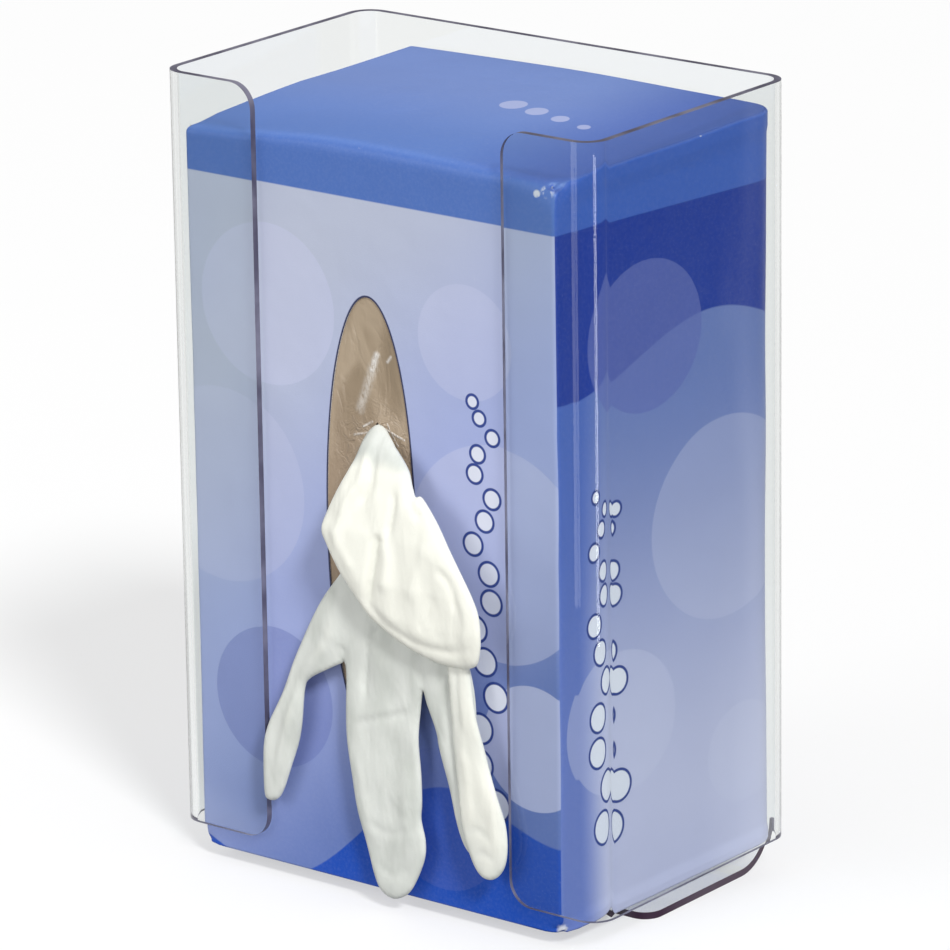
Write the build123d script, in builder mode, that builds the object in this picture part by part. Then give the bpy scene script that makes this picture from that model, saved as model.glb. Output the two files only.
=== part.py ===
from build123d import *
import os

os.makedirs("parts", exist_ok=True)

# Glove dispenser: one clear sheet bent into an open-fronted pocket, holding a carton of gloves.
# Frame: X across, +Y towards the wall, +Z up. The origin is the centre of the flat underside
# of the shelf tab, on which the whole thing stands.

# ---- clear holder, bent from one sheet ----
SHEET = 2.4  # thickness of the clear sheet
HOLDER_WIDTH = 174.0  # over the outsides of the two sides
HOLDER_DEPTH = 106.5  # wall plane to the outside of the front flanges
WALL_HEIGHT = 256.0  # height of the back, sides and flanges
BEND_RADIUS = 8.6  # outside radius of the four upright bends
MOUTH_WIDTH = 100.4  # between the free edges of the two front flanges
MOUTH_X = 1.1  # middle of the mouth; the left flange is bent a little wider than the right one
FLANGE_CORNER = 8.5  # rounding of the flanges' free corners
TAB_DROP = 12.4  # walls' lower edge above the shelf tab's underside
TAB_BEND = 16.5  # outside radius of the bend from the back into the shelf tab
TAB_REACH = 67.8  # wall plane to the shelf tab's front edge
TAB_CORNER = 6.5  # rounding of the shelf tab's free corners
RELIEF = 1.6  # width of the saw cut that frees the tab from each upright bend

# ---- keyholes in the back, for two screws in the wall ----
KEYHOLE_SPACING = 101.6
KEYHOLE_HEIGHT = 214.0  # entry hole's centre above the standing plane
KEYHOLE_ENTRY = 5.0  # radius that the screw's head goes through
KEYHOLE_NECK = 2.4  # half-width of the slot that the screw's shank slides up
KEYHOLE_RISE = 9.0  # entry hole's centre to the slot's upper end centre

# ---- glove carton, folded from one printed card ----
CARD = 0.6  # thickness of the card
CARTON_WIDTH = 149.0
CARTON_LEFT = -78.5  # front left edge; the carton is racked, so its back sits further right
CARTON_RACK = 13.5  # how far the back is pushed towards +X
CARTON_FRONT_GAP = 0.6  # carton's front to the inside of the flanges
CARTON_BACK_GAP = 0.8  # carton's back to the inside of the back panel
CARTON_TOP_FRONT = 253.2  # heights above the standing plane, where the walls meet each end
CARTON_TOP_BACK = 259.0
CARTON_BOTTOM_FRONT = 4.3  # the front overhangs the tab
CARTON_BOTTOM_BACK = 11.9  # the back edge rides up on the tab's bend
TOP_CROWN = 2.6  # how far the glued top bulges up along its middle
SAG_MARGIN = 5.0  # the bottom's flaps sag to the tab, from this far inside the folds
SAG_WIDTH = 90.0  # level patch where the sagging flaps rest
SAG_DEPTH = 34.0
FOLD = 1.4  # outside radius of the upright folds
CRUSHED_FOLD = 10.5  # back right fold, pressed round against the holder's bend
TOP_FOLD = 3.6  # soft fold between the front and the top
FLAP_INSET = 0.9  # the glued outer flap stops this far short of the other three edges

# ---- oval opening and the film behind it ----
OVAL_HALF_WIDTH = 17.8
OVAL_HALF_HEIGHT = 75.3
OVAL_HEIGHT = 129.2  # centre above the standing plane
OVAL_SHIFT = -1.5  # the oval is cut this far from the middle of the front
FILM = 0.3
FILM_MARGIN = 12.0  # how far the glued film reaches past the opening
SLIT_X = -3.0  # middle of the film's slit
SLIT_HEIGHT = 156.0
SLIT_HALF_WIDTH = 2.4  # the glove holds the slit open, as a lens of this size
SLIT_HALF_HEIGHT = 13.5

# ---- packed gloves ----
STACK_GAP = 3.0  # packed gloves to the carton's walls
STACK_FRONT_GAP = 6.0  # packed gloves to the film
STACK_HEADROOM = 9.0  # packed gloves to the carton's top

# ---- hanging glove: a limp, flat bag. An outline is drawn on the carton's front, as (x, height) ----
LIMP = 2.4  # thickness of a flattened palm or finger
LIMP_EDGE = 0.7  # its rim is thinned by this much
FINGERTIP = 3.9  # rounding of the corners below the fingertips' height
FINGERTIP_HEIGHT = 36.0
CREASE = 1.2  # rounding of the other corners
PALM_STAND_OFF = 3.4  # carton's front to the back of the palm, which hangs just clear of the flanges
LAP = 0.2  # the lapped finger and the palm are pressed together by this much
PALM_OUTLINE = [
    (-3.0, 150.0),  # gathered top, hidden in the cuff
    (-8.4, 130.0),
    (-12.4, 114.0),
    (-22.6, 101.3),
    (-48.4, 50.5),  # thumb, from its outer side round the tip to its inner side
    (-49.4, 26.0),
    (-42.0, 27.0),
    (-31.8, 57.0),
    (-30.4, 71.0),
    (-14.6, 81.2),
    (-13.4, 60.0),  # long finger
    (-10.8, 38.6),
    (-0.8, 3.8),
    (9.6, 3.8),
    (18.9, 20.0),
    (16.9, 37.5),
    (16.6, 60.0),
    (18.2, 78.0),
    (21.0, 73.0),
    (25.0, 62.0),  # rear finger
    (34.6, 26.4),
    (42.4, 26.6),
    (42.4, 44.0),
    (38.6, 86.0),
    (30.0, 110.0),
    (14.0, 132.0),
    (3.0, 150.0),
]
LAPPED_FINGER_OUTLINE = [
    (30.6, 97.0),
    (31.8, 68.0),
    (34.4, 48.0),
    (37.0, 29.6),
    (41.4, 20.6),
    (49.6, 20.6),
    (54.2, 31.0),
    (51.8, 44.0),
    (42.0, 74.0),
    (38.8, 97.0),
]
# the folded-down cuff goes through level round-ended sections, listed from the top down as
# (height, x, stand-off of the middle from the carton's front, half width, half depth)
CUFF = [
    (163.4, -2.2, 2.2, 2.0, 1.6),
    (150.0, 4.6, 6.4, 12.4, 2.6),
    (133.0, 8.4, 9.9, 23.2, 3.3),
    (115.0, 17.8, 11.0, 27.2, 3.5),
    (98.0, 27.6, 10.8, 18.6, 3.0),
    (91.0, 34.0, 10.3, 5.0, 1.4),
]
NECK_HALF_HEIGHT = 9.0  # the gathered neck fills the slit's width, and this much of its height
NECK_REACH = 2.0  # how far the neck runs out past the carton's front

# ---- places that follow from the sizes ----
WALL_Y = (TAB_BEND + TAB_REACH) / 2
FLANGE_Y = WALL_Y - HOLDER_DEPTH
HOLDER_TOP = TAB_DROP + WALL_HEIGHT
HOLDER_MIDDLE_Y = WALL_Y - HOLDER_DEPTH / 2
TAB_WIDTH = HOLDER_WIDTH - 2 * BEND_RADIUS
CARTON_FRONT_Y = FLANGE_Y + SHEET + CARTON_FRONT_GAP
CARTON_BACK_Y = WALL_Y - SHEET - CARTON_BACK_GAP
CARTON_DEPTH = CARTON_BACK_Y - CARTON_FRONT_Y
CARTON_RIGHT = CARTON_LEFT + CARTON_WIDTH
FILM_Y = CARTON_FRONT_Y + CARD
STACK_FRONT_Y = FILM_Y + FILM + STACK_FRONT_GAP
CARTON_X = CARTON_LEFT + CARTON_WIDTH / 2
OVAL_X = CARTON_X + OVAL_SHIFT
CARTON_CORNERS = [
    (CARTON_LEFT, CARTON_FRONT_Y),
    (CARTON_RIGHT, CARTON_FRONT_Y),
    (CARTON_RIGHT + CARTON_RACK, CARTON_BACK_Y),
    (CARTON_LEFT + CARTON_RACK, CARTON_BACK_Y),
]
CARTON_RISE = CARTON_TOP_BACK - CARTON_TOP_FRONT
SAG_Y = WALL_Y - TAB_REACH + TAB_CORNER + SAG_DEPTH / 2
BEYOND = 10.0  # how far cutting shapes run past the carton


def carton_plan(inset):
    """The carton's racked plan with its upright folds, drawn inset from its outside."""
    with BuildSketch() as plan:
        with BuildLine():
            Polyline(*CARTON_CORNERS, close=True)
        make_face()
        upright = plan.vertices()
        crushed = upright.group_by(Axis.Y)[-1].sort_by(Axis.X)[-1]
        fillet([corner for corner in upright if corner != crushed], radius=FOLD)
        fillet(plan.vertices().group_by(Axis.Y)[-1].sort_by(Axis.X)[-1], radius=CRUSHED_FOLD)
        if inset:
            offset(amount=-inset, kind=Kind.INTERSECTION)
    return plan.sketch


def above_top(drop):
    """All that is above the carton's crowned, sloping top, when the top is lowered by drop."""
    front = Plane(
        origin=(CARTON_X, CARTON_FRONT_Y, CARTON_TOP_FRONT - drop),
        x_dir=(-1, 0, 0),
        z_dir=(0, CARTON_DEPTH, CARTON_RISE),
    )
    half = HOLDER_WIDTH / 2 + BEYOND
    with BuildPart() as above:
        with BuildSketch(front.offset(-BEYOND)):
            with BuildLine():
                ThreePointArc((half, 0), (0, TOP_CROWN), (-half, 0))
                Polyline((-half, 0), (-half, half), (half, half), (half, 0))
            make_face()
        extrude(amount=CARTON_DEPTH + 3 * BEYOND)
    return above.part


def below_bottom(rise):
    """All that is below the carton's sloping bottom, when the bottom is raised by rise."""
    front = Plane(
        origin=(CARTON_X, CARTON_FRONT_Y, CARTON_BOTTOM_FRONT + rise),
        x_dir=(1, 0, 0),
        z_dir=(0, CARTON_DEPTH, CARTON_BOTTOM_BACK - CARTON_BOTTOM_FRONT),
    )
    with BuildPart() as below:
        with BuildSketch(front.offset(-BEYOND)):
            Rectangle(HOLDER_WIDTH + 2 * BEYOND, HOLDER_WIDTH, align=(Align.CENTER, Align.MIN))
        extrude(amount=CARTON_DEPTH + 3 * BEYOND)
    return below.part


def limp_stretch(outline, stand_off):
    """A flattened double layer of glove, its back at a stand-off from the carton's front."""
    with BuildPart() as stretch:
        with BuildSketch(Plane.XZ.offset(stand_off - CARTON_FRONT_Y)) as layer:
            with BuildLine():
                Polyline(*outline, close=True)
            make_face()
            corners = layer.vertices()
            fillet(corners.filter_by(lambda corner: corner.Y > FINGERTIP_HEIGHT), radius=CREASE)
            corners = layer.vertices()
            fillet(corners.filter_by(lambda corner: corner.Y < FINGERTIP_HEIGHT), radius=FINGERTIP)
        extrude(amount=LIMP)
        chamfer(stretch.edges().filter_by(Axis.Y, reverse=True), length=LIMP_EDGE)
    return stretch.part


# ---- clear_holder: back, two sides and two flanges in one bent sheet, with a shelf tab below ----
with BuildPart() as clear_holder:
    with BuildSketch(Plane.XY.offset(TAB_DROP)):
        with Locations((0, HOLDER_MIDDLE_Y)):
            RectangleRounded(HOLDER_WIDTH, HOLDER_DEPTH, BEND_RADIUS)
            RectangleRounded(
                HOLDER_WIDTH - 2 * SHEET,
                HOLDER_DEPTH - 2 * SHEET,
                BEND_RADIUS - SHEET,
                mode=Mode.SUBTRACT,
            )
        with Locations((MOUTH_X, FLANGE_Y)):
            Rectangle(MOUTH_WIDTH, 3 * SHEET, mode=Mode.SUBTRACT)
    extrude(amount=WALL_HEIGHT)

    # the flanges' four free corners are rounded
    across = clear_holder.edges().filter_by(Axis.Y)
    free_corners = across.filter_by(lambda edge: abs(edge.center().X) < HOLDER_WIDTH / 2 - BEND_RADIUS)
    fillet(free_corners, radius=FLANGE_CORNER)

    # the back stops short between the relief cuts, and the tab goes on from it
    with BuildSketch(Plane.XY.offset(TAB_DROP)):
        with Locations((0, WALL_Y)):
            Rectangle(TAB_WIDTH + 2 * RELIEF, 3 * SHEET)
    extrude(amount=TAB_BEND - TAB_DROP, mode=Mode.SUBTRACT)

    with BuildSketch(Plane.YZ):
        with BuildLine():
            FilletPolyline(
                (WALL_Y, TAB_BEND + SHEET),
                (WALL_Y, 0),
                (WALL_Y - TAB_REACH, 0),
                radius=TAB_BEND,
            )
            offset(amount=SHEET, side=Side.RIGHT)
        make_face()
    extrude(amount=TAB_WIDTH / 2, both=True)
    tab_corners = clear_holder.edges().filter_by(Axis.Z).group_by(Axis.Z)[0]
    fillet(tab_corners.group_by(Axis.Y)[0], radius=TAB_CORNER)

    # two keyholes through the back
    with BuildSketch(Plane.XZ.offset(-WALL_Y)):
        with Locations((0, KEYHOLE_HEIGHT)):
            with GridLocations(KEYHOLE_SPACING, 1, 2, 1):
                Circle(KEYHOLE_ENTRY)
                with Locations((0, KEYHOLE_RISE)):
                    Circle(KEYHOLE_NECK)
                with Locations((0, KEYHOLE_RISE / 2)):
                    Rectangle(2 * KEYHOLE_NECK, KEYHOLE_RISE)
    extrude(amount=2 * SHEET, both=True, mode=Mode.SUBTRACT)

clear_holder.part.label = "clear_holder"


# ---- glove_carton: folded card, both ends closed with glued flaps, oval opening in the front ----
with BuildPart() as carton_space:
    add(carton_plan(CARD))
    extrude(amount=HOLDER_TOP)
    add(above_top(2 * CARD), mode=Mode.SUBTRACT)
    add(below_bottom(2 * CARD), mode=Mode.SUBTRACT)

# each outer flap folds over from the front and stops just short of the other three edges
with BuildPart() as between_flaps:
    add(carton_plan(-BEYOND))
    extrude(amount=HOLDER_TOP)
    add(above_top(CARD), mode=Mode.SUBTRACT)
    add(below_bottom(CARD), mode=Mode.SUBTRACT)

with BuildPart() as flap_steps:
    add(carton_plan(0) - carton_plan(FLAP_INSET))
    extrude(amount=HOLDER_TOP)
    split(bisect_by=Plane.XZ.offset(-CARTON_FRONT_Y - TOP_FOLD), keep=Keep.BOTTOM)
    add(between_flaps.part, mode=Mode.SUBTRACT)

# the bottom's glued flaps sag between the folds until they rest on the tab
with BuildPart() as sagging_flaps:
    with BuildSketch(Plane.XY.offset(SHEET)):
        with Locations((CARTON_X, SAG_Y)):
            RectangleRounded(SAG_WIDTH, SAG_DEPTH, TAB_CORNER)
    with BuildSketch(Plane.XY.offset(CARTON_BOTTOM_BACK)):
        with Locations((CARTON_X + CARTON_RACK / 2, HOLDER_MIDDLE_Y)):
            RectangleRounded(
                CARTON_WIDTH - 2 * SAG_MARGIN - CARTON_RACK,
                CARTON_DEPTH - 2 * SAG_MARGIN,
                TAB_CORNER,
            )
    loft()

with BuildPart() as glove_carton:
    with BuildSketch():
        with BuildLine():
            Polyline(*CARTON_CORNERS, close=True)
        make_face()
    extrude(amount=HOLDER_TOP)
    add(above_top(0), mode=Mode.SUBTRACT)
    add(below_bottom(0), mode=Mode.SUBTRACT)
    front_folds = glove_carton.edges().group_by(Axis.Y)[0].sort_by(Axis.Z)
    fillet(front_folds[-1], radius=TOP_FOLD)
    upright = glove_carton.edges().filter_by(Axis.Z)
    fillet(upright.sort_by(Axis.X)[-1], radius=CRUSHED_FOLD)
    upright = glove_carton.edges().filter_by(Axis.Z)
    fillet(upright.filter_by(lambda edge: edge.center().X < CARTON_RIGHT + FOLD), radius=FOLD)
    front_folds = glove_carton.edges().group_by(Axis.Y)[0].sort_by(Axis.Z)
    fillet(front_folds[0], radius=CARD)
    add(flap_steps.part, mode=Mode.SUBTRACT)
    add(sagging_flaps.part)
    add(carton_space.part, mode=Mode.SUBTRACT)

    with BuildSketch(Plane.XZ.offset(-CARTON_FRONT_Y)):
        with Locations((OVAL_X, OVAL_HEIGHT)):
            Ellipse(OVAL_HALF_WIDTH, OVAL_HALF_HEIGHT)
    extrude(amount=2 * CARD, both=True, mode=Mode.SUBTRACT)

glove_carton.part.label = "glove_carton"

# ---- slit_film: clear film glued behind the oval, its slit held open where the glove comes out ----
with BuildPart() as slit_film:
    with BuildSketch(Plane.XZ.offset(-FILM_Y)):
        with Locations((OVAL_X, OVAL_HEIGHT)):
            RectangleRounded(
                2 * (OVAL_HALF_WIDTH + FILM_MARGIN),
                2 * (OVAL_HALF_HEIGHT + FILM_MARGIN),
                FILM_MARGIN / 2,
            )
        with BuildLine():
            for lip_x in (SLIT_X - SLIT_HALF_WIDTH, SLIT_X + SLIT_HALF_WIDTH):
                ThreePointArc(
                    (SLIT_X, SLIT_HEIGHT - SLIT_HALF_HEIGHT),
                    (lip_x, SLIT_HEIGHT),
                    (SLIT_X, SLIT_HEIGHT + SLIT_HALF_HEIGHT),
                )
        make_face(mode=Mode.SUBTRACT)
    extrude(amount=-FILM)

slit_film.part.label = "slit_film"

# ---- glove_stack: the gloves packed flat in the carton, as one block ----
with BuildPart() as glove_stack:
    add(carton_plan(CARD + STACK_GAP))
    extrude(amount=HOLDER_TOP)
    add(above_top(STACK_HEADROOM), mode=Mode.SUBTRACT)
    add(below_bottom(2 * CARD), mode=Mode.SUBTRACT)
    split(bisect_by=Plane.XZ.offset(-STACK_FRONT_Y), keep=Keep.BOTTOM)

glove_stack.part.label = "glove_stack"

# ---- hanging_glove: one glove pulled half out, its cuff folded down over the palm and fingers ----
with BuildPart() as hanging_glove:
    for height, x, stand_off, half_width, half_depth in CUFF:
        with BuildSketch(Plane.XY.offset(height)):
            with Locations((x, CARTON_FRONT_Y - stand_off)):
                SlotOverall(2 * half_width, 2 * half_depth)
    loft(ruled=True)
    add(limp_stretch(PALM_OUTLINE, PALM_STAND_OFF))
    add(limp_stretch(LAPPED_FINGER_OUTLINE, PALM_STAND_OFF + LIMP - LAP))
    with BuildSketch(Plane.XZ.offset(-STACK_FRONT_Y)):
        with Locations((SLIT_X, SLIT_HEIGHT)):
            Ellipse(SLIT_HALF_WIDTH, NECK_HALF_HEIGHT)
    extrude(amount=STACK_FRONT_Y - CARTON_FRONT_Y + NECK_REACH)

hanging_glove.part.label = "hanging_glove"

for piece in (clear_holder, glove_carton, slit_film, glove_stack, hanging_glove):
    export_step(piece.part, f"parts/{piece.part.label}.step")
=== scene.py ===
"""Glove dispenser: a clear bent wall pocket, a printed glove carton in it, and a glove half pulled out.

Every length in a dataclass is in millimetres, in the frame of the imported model: X across, +Y towards
the wall, +Z up, with the origin under the middle of the shelf tab. Meshes are turned to metres last.
"""

from __future__ import annotations

import logging
import math
from collections.abc import Callable, Sequence
from dataclasses import dataclass, field
from enum import Enum

import bmesh
import bpy
import numpy as np
from mathutils import Matrix, Vector
from mathutils.geometry import delaunay_2d_cdt

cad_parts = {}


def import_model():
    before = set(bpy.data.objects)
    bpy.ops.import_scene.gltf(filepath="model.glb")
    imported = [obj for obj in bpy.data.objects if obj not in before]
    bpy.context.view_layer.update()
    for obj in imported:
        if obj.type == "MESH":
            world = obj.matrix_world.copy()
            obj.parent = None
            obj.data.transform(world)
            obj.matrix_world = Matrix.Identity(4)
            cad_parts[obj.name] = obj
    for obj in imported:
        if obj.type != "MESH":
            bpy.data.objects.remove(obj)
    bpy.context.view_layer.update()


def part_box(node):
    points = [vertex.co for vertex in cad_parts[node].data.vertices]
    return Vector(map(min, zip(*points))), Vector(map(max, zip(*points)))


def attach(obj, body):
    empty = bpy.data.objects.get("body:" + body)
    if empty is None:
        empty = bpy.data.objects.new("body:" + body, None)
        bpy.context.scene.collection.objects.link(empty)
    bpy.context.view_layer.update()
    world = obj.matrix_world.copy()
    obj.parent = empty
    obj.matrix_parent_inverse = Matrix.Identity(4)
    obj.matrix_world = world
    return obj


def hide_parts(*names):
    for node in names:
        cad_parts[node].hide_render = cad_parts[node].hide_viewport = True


MM = 0.001
LOG = logging.getLogger("glove_dispenser")

Point = tuple[float, float]
Spot = tuple[float, float, float]
Colour = tuple[float, float, float, float]
WHITE: Colour = (1.0, 1.0, 1.0, 1.0)


# ---------------------------------------------------------------------------------------------
# Colours and shader nodes
# ---------------------------------------------------------------------------------------------


def ink(red: int, green: int, blue: int) -> Colour:
    """Turns a display colour of 0 to 255 into the linear one that a shader takes.

    Args:
        red: Red as displayed.
        green: Green as displayed.
        blue: Blue as displayed.

    Returns:
        The linear colour, opaque.
    """
    parts = [channel / 255 for channel in (red, green, blue)]
    linear = [c / 12.92 if c <= 0.04045 else ((c + 0.055) / 1.055) ** 2.4 for c in parts]
    return (linear[0], linear[1], linear[2], 1.0)


class Signal:
    """A node's output socket that takes part in Python arithmetic."""

    def __init__(self, bench: Bench, socket: bpy.types.NodeSocket) -> None:
        """Keeps the socket and the bench that adds nodes for it.

        Args:
            bench: The material being built.
            socket: The output to wrap.
        """
        self.bench = bench
        self.socket = socket

    def _math(self, operation: str, *terms: Signal | float) -> Signal:
        """Adds one Math node on the terms, in their order."""
        return self.bench.node("ShaderNodeMath", {"operation": operation}, dict(enumerate(terms)))

    def __add__(self, other: Signal | float) -> Signal:
        """Adds."""
        return self._math("ADD", self, other)

    __radd__ = __add__

    def __sub__(self, other: Signal | float) -> Signal:
        """Subtracts."""
        return self._math("SUBTRACT", self, other)

    def __rsub__(self, other: float) -> Signal:
        """Subtracts this from a number."""
        return self._math("SUBTRACT", other, self)

    def __mul__(self, other: Signal | float) -> Signal:
        """Multiplies."""
        return self._math("MULTIPLY", self, other)

    __rmul__ = __mul__

    def __truediv__(self, other: Signal | float) -> Signal:
        """Divides."""
        return self._math("DIVIDE", self, other)

    def __abs__(self) -> Signal:
        """Takes the size without the sign."""
        return self._math("ABSOLUTE", self)

    def __gt__(self, other: Signal | float) -> Signal:
        """Is 1 where this is greater."""
        return self._math("GREATER_THAN", self, other)

    def sine(self) -> Signal:
        """Takes the sine of an angle in radians."""
        return self._math("SINE", self)

    def above(self, other: Signal | float) -> Signal:
        """Takes the greater of the two."""
        return self._math("MAXIMUM", self, other)

    def rise(self, low: float, high: float) -> Signal:
        """Goes smoothly from 0 to 1 as this goes from low to high; low may be the greater."""
        settings = {"interpolation_type": "SMOOTHSTEP"}
        return self.bench.node("ShaderNodeMapRange", settings, {0: self, 1: low, 2: high})


class Bench:
    """The node tree of a material or a world, and the few ways in which a finish adds to it."""

    def __init__(self, owner: bpy.types.Material | bpy.types.World) -> None:
        """Empties the owner's tree.

        Args:
            owner: The material or world being made.
        """
        self.owner = owner
        owner.use_nodes = True
        self.tree = owner.node_tree
        self.tree.nodes.clear()

    def node(self, kind: str, settings: dict | None = None, sockets: dict | None = None,
             output: int | str = 0) -> Signal:
        """Adds any node.

        Args:
            kind: Blender's type of the node.
            settings: Its properties, and "stops" for a colour ramp, set first.
            sockets: Input name or index to a plain value or a Signal.
            output: Name or index of the output to hand back.

        Returns:
            That output.
        """
        node = self.tree.nodes.new(kind)
        for key, value in (settings or {}).items():
            if key == "stops":
                elements = node.color_ramp.elements
                while len(elements) < len(value):
                    elements.new(1.0)
                for element, (place, colour) in zip(elements, value):
                    element.position = place
                    element.color = colour
            else:
                setattr(node, key, value)
        for key, value in (sockets or {}).items():
            if isinstance(value, Signal):
                self.tree.links.new(value.socket, node.inputs[key])
            else:
                node.inputs[key].default_value = value
        return Signal(self, node.outputs[output])

    def vector(self, operation: str, *terms: Signal | Sequence[float], output: int | str = 0) -> Signal:
        """Adds one Vector Math node on the terms, in their order."""
        return self.node("ShaderNodeVectorMath", {"operation": operation}, dict(enumerate(terms)), output)

    def scaled(self, vector: Signal | Sequence[float], factor: Signal | float) -> Signal:
        """Makes a vector longer or shorter."""
        return self.node("ShaderNodeVectorMath", {"operation": "SCALE"}, {0: vector, "Scale": factor})

    def distance(self, first: Signal, second: Signal | Sequence[float]) -> Signal:
        """Measures from one place to another."""
        return self.vector("DISTANCE", first, second, output="Value")

    def along(self, vector: Signal, direction: Sequence[float]) -> Signal:
        """Measures a vector along a direction of length 1."""
        return self.vector("DOT_PRODUCT", vector, direction, output="Value")

    def ray(self, kind: str) -> Signal:
        """Tells what ray has come; the kind is an output of the Light Path node."""
        return self.node("ShaderNodeLightPath", output=kind)

    def place(self) -> Signal:
        """Gives the place on the piece in millimetres, as a vector."""
        return self.scaled(self.node("ShaderNodeTexCoord", output="Object"), 1 / MM)

    def facing(self) -> Signal:
        """Gives the surface's normal as a vector."""
        return self.node("ShaderNodeTexCoord", output="Normal")

    def axes(self, vector: Signal) -> tuple[Signal, Signal, Signal]:
        """Splits a vector.

        Args:
            vector: The vector.

        Returns:
            Its x, y and z.
        """
        split = self.node("ShaderNodeSeparateXYZ", sockets={0: vector}).socket.node
        x, y, z = (Signal(self, output) for output in split.outputs)
        return x, y, z

    def joined(self, x: Signal | float, y: Signal | float, z: Signal | float = 0.0) -> Signal:
        """Makes a vector of three values."""
        return self.node("ShaderNodeCombineXYZ", sockets={0: x, 1: y, 2: z})

    def stretched(self, vector: Signal, x: float, y: float, z: float) -> Signal:
        """Multiplies a vector's parts, to draw a texture out."""
        return self.vector("MULTIPLY", vector, (x, y, z))

    def noise(self, vector: Signal, scale: float, detail: float = 3.0, roughness: float = 0.5,
              distortion: float = 0.0) -> Signal:
        """Adds fractal noise around 0.5.

        Args:
            vector: Where it is read.
            scale: Features per unit of the vector.
            detail: Number of octaves.
            roughness: How strong the finer octaves are.
            distortion: How far it is warped.

        Returns:
            The noise's value.
        """
        sockets = {"Vector": vector, "Scale": scale, "Detail": detail, "Roughness": roughness,
                   "Distortion": distortion}
        return self.node("ShaderNodeTexNoise", sockets=sockets)

    def blend(self, factor: Signal | float, first: Signal | Colour, second: Signal | Colour) -> Signal:
        """Mixes two colours.

        Args:
            factor: 0 for the first, 1 for the second.
            first: The first colour.
            second: The second colour.

        Returns:
            The mixed colour.
        """
        settings = {"data_type": "RGBA", "clamp_factor": True}
        return self.node("ShaderNodeMix", settings, {0: factor, 6: first, 7: second}, output=2)

    def stroke(self, flat: Signal, start: Point, end: Point) -> Signal:
        """Measures the distance to a straight stroke.

        Args:
            flat: The place, with no z.
            start: The stroke's start.
            end: Its end.

        Returns:
            The distance.
        """
        length = math.dist(start, end)
        way = ((end[0] - start[0]) / length, (end[1] - start[1]) / length, 0.0)
        offset = self.vector("SUBTRACT", flat, (*start, 0.0))
        sockets = {"Value": self.along(offset, way), "Min": 0.0, "Max": length}
        return self.distance(offset, self.scaled(way, self.node("ShaderNodeClamp", sockets=sockets)))

    def bump(self, height: Signal, relief: float) -> Signal:
        """Turns a height of about 0 to 1 into a normal; the relief of a whole step is in millimetres."""
        sockets = {"Strength": 1.0, "Distance": relief * MM, "Height": height}
        return self.node("ShaderNodeBump", sockets=sockets)

    def principled(self, **sockets: Signal | float | Colour) -> Signal:
        """Adds a Principled shader; an input's name is written with _ for each space."""
        named = {key.replace("_", " "): value for key, value in sockets.items()}
        return self.node("ShaderNodeBsdfPrincipled", sockets=named)

    def clear(self, colour: Colour) -> Signal:
        """Adds a Transparent shader."""
        return self.node("ShaderNodeBsdfTransparent", sockets={"Color": colour})

    def mixed(self, factor: Signal, first: Signal, second: Signal) -> Signal:
        """Mixes two shaders: 0 for the first, 1 for the second."""
        return self.node("ShaderNodeMixShader", sockets={0: factor, 1: first, 2: second})

    def finished(self, shader: Signal, kind: str = "ShaderNodeOutputMaterial") -> bpy.types.ID:
        """Puts a shader on the output.

        Args:
            shader: The whole surface.
            kind: The output node's type.

        Returns:
            The finished material or world.
        """
        output = self.tree.nodes.new(kind)
        self.tree.links.new(shader.socket, output.inputs["Surface"])
        return self.owner


def new_bench(name: str) -> Bench:
    """Starts a material of this name."""
    return Bench(bpy.data.materials.new(name))


# ---------------------------------------------------------------------------------------------
# Finishes
# ---------------------------------------------------------------------------------------------


@dataclass(frozen=True)
class ClearSheet:
    """Polished clear plastic sheet, with faint handling haze."""

    tint: Colour = ink(250, 252, 251)
    roughness: float = 0.02
    ior: float = 1.5
    passed: Colour = ink(248, 250, 250)
    ripple_scale: float = 0.035
    ripple_depth: float = 0.35

    def material(self) -> bpy.types.Material:
        """Makes the material.

        Returns:
            Glass that lets lamps through to what is behind it.
        """
        bench = new_bench("clear_sheet_polished")
        drawn = bench.stretched(bench.place(), 1.0, 1.0, 0.25)
        ripple = bench.noise(drawn, self.ripple_scale, detail=1.0)
        glass = bench.principled(Base_Color=self.tint, Roughness=self.roughness, IOR=self.ior,
                                 Transmission_Weight=1.0, Normal=bench.bump(ripple, self.ripple_depth))
        lit_through = bench.ray("Is Shadow Ray").above(bench.ray("Is Diffuse Ray"))
        return bench.finished(bench.mixed(lit_through, glass, bench.clear(self.passed)))


@dataclass(frozen=True)
class SawnEdge:
    """The sheet's sawn and scraped edge, which looks dark because it sends light down the sheet."""

    # Painted shade: these greys stand in for the dark the edge shows as it sends light down the sheet.
    dark: Colour = ink(78, 74, 94)
    pale: Colour = ink(128, 126, 144)
    deep: Colour = ink(64, 44, 64)
    tab_height: float = 12.0
    tab_fade: float = 6.0
    saw_depth: float = 0.03
    passed: float = 0.8

    def material(self) -> bpy.types.Material:
        """Makes the material.

        Returns:
            A satin grey painted as the edge's shade, deeper painted shade along the shelf tab where one looks
            into the sheet, and fine saw lines.
        """
        bench = new_bench("clear_sheet_sawn_edge")
        at = bench.place()
        _, _, z = bench.axes(at)
        patches = bench.noise(at, 0.06)
        grey = bench.blend(patches.rise(0.35, 0.7), self.dark, self.pale)
        # Painted shade: deeper colour along the shelf tab's edge, where one looks into the sheet.
        colour = bench.blend(z.rise(self.tab_height, self.tab_height - self.tab_fade), grey, self.deep)
        lines = bench.noise(at, 4.0, detail=2.0)
        edge = bench.principled(Base_Color=colour, Roughness=0.28 + lines * 0.2,
                                Normal=bench.bump(lines, self.saw_depth))
        return bench.finished(bench.mixed(bench.ray("Is Shadow Ray") * self.passed, edge, bench.clear(WHITE)))


class Panel(Enum):
    """A printed side of the carton, by the vector that its outside faces."""

    FRONT = (0, -1, 0)
    RIGHT = (1, 0, 0)
    LEFT = (-1, 0, 0)
    BACK = (0, 1, 0)
    TOP = (0, 0, 1)


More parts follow.
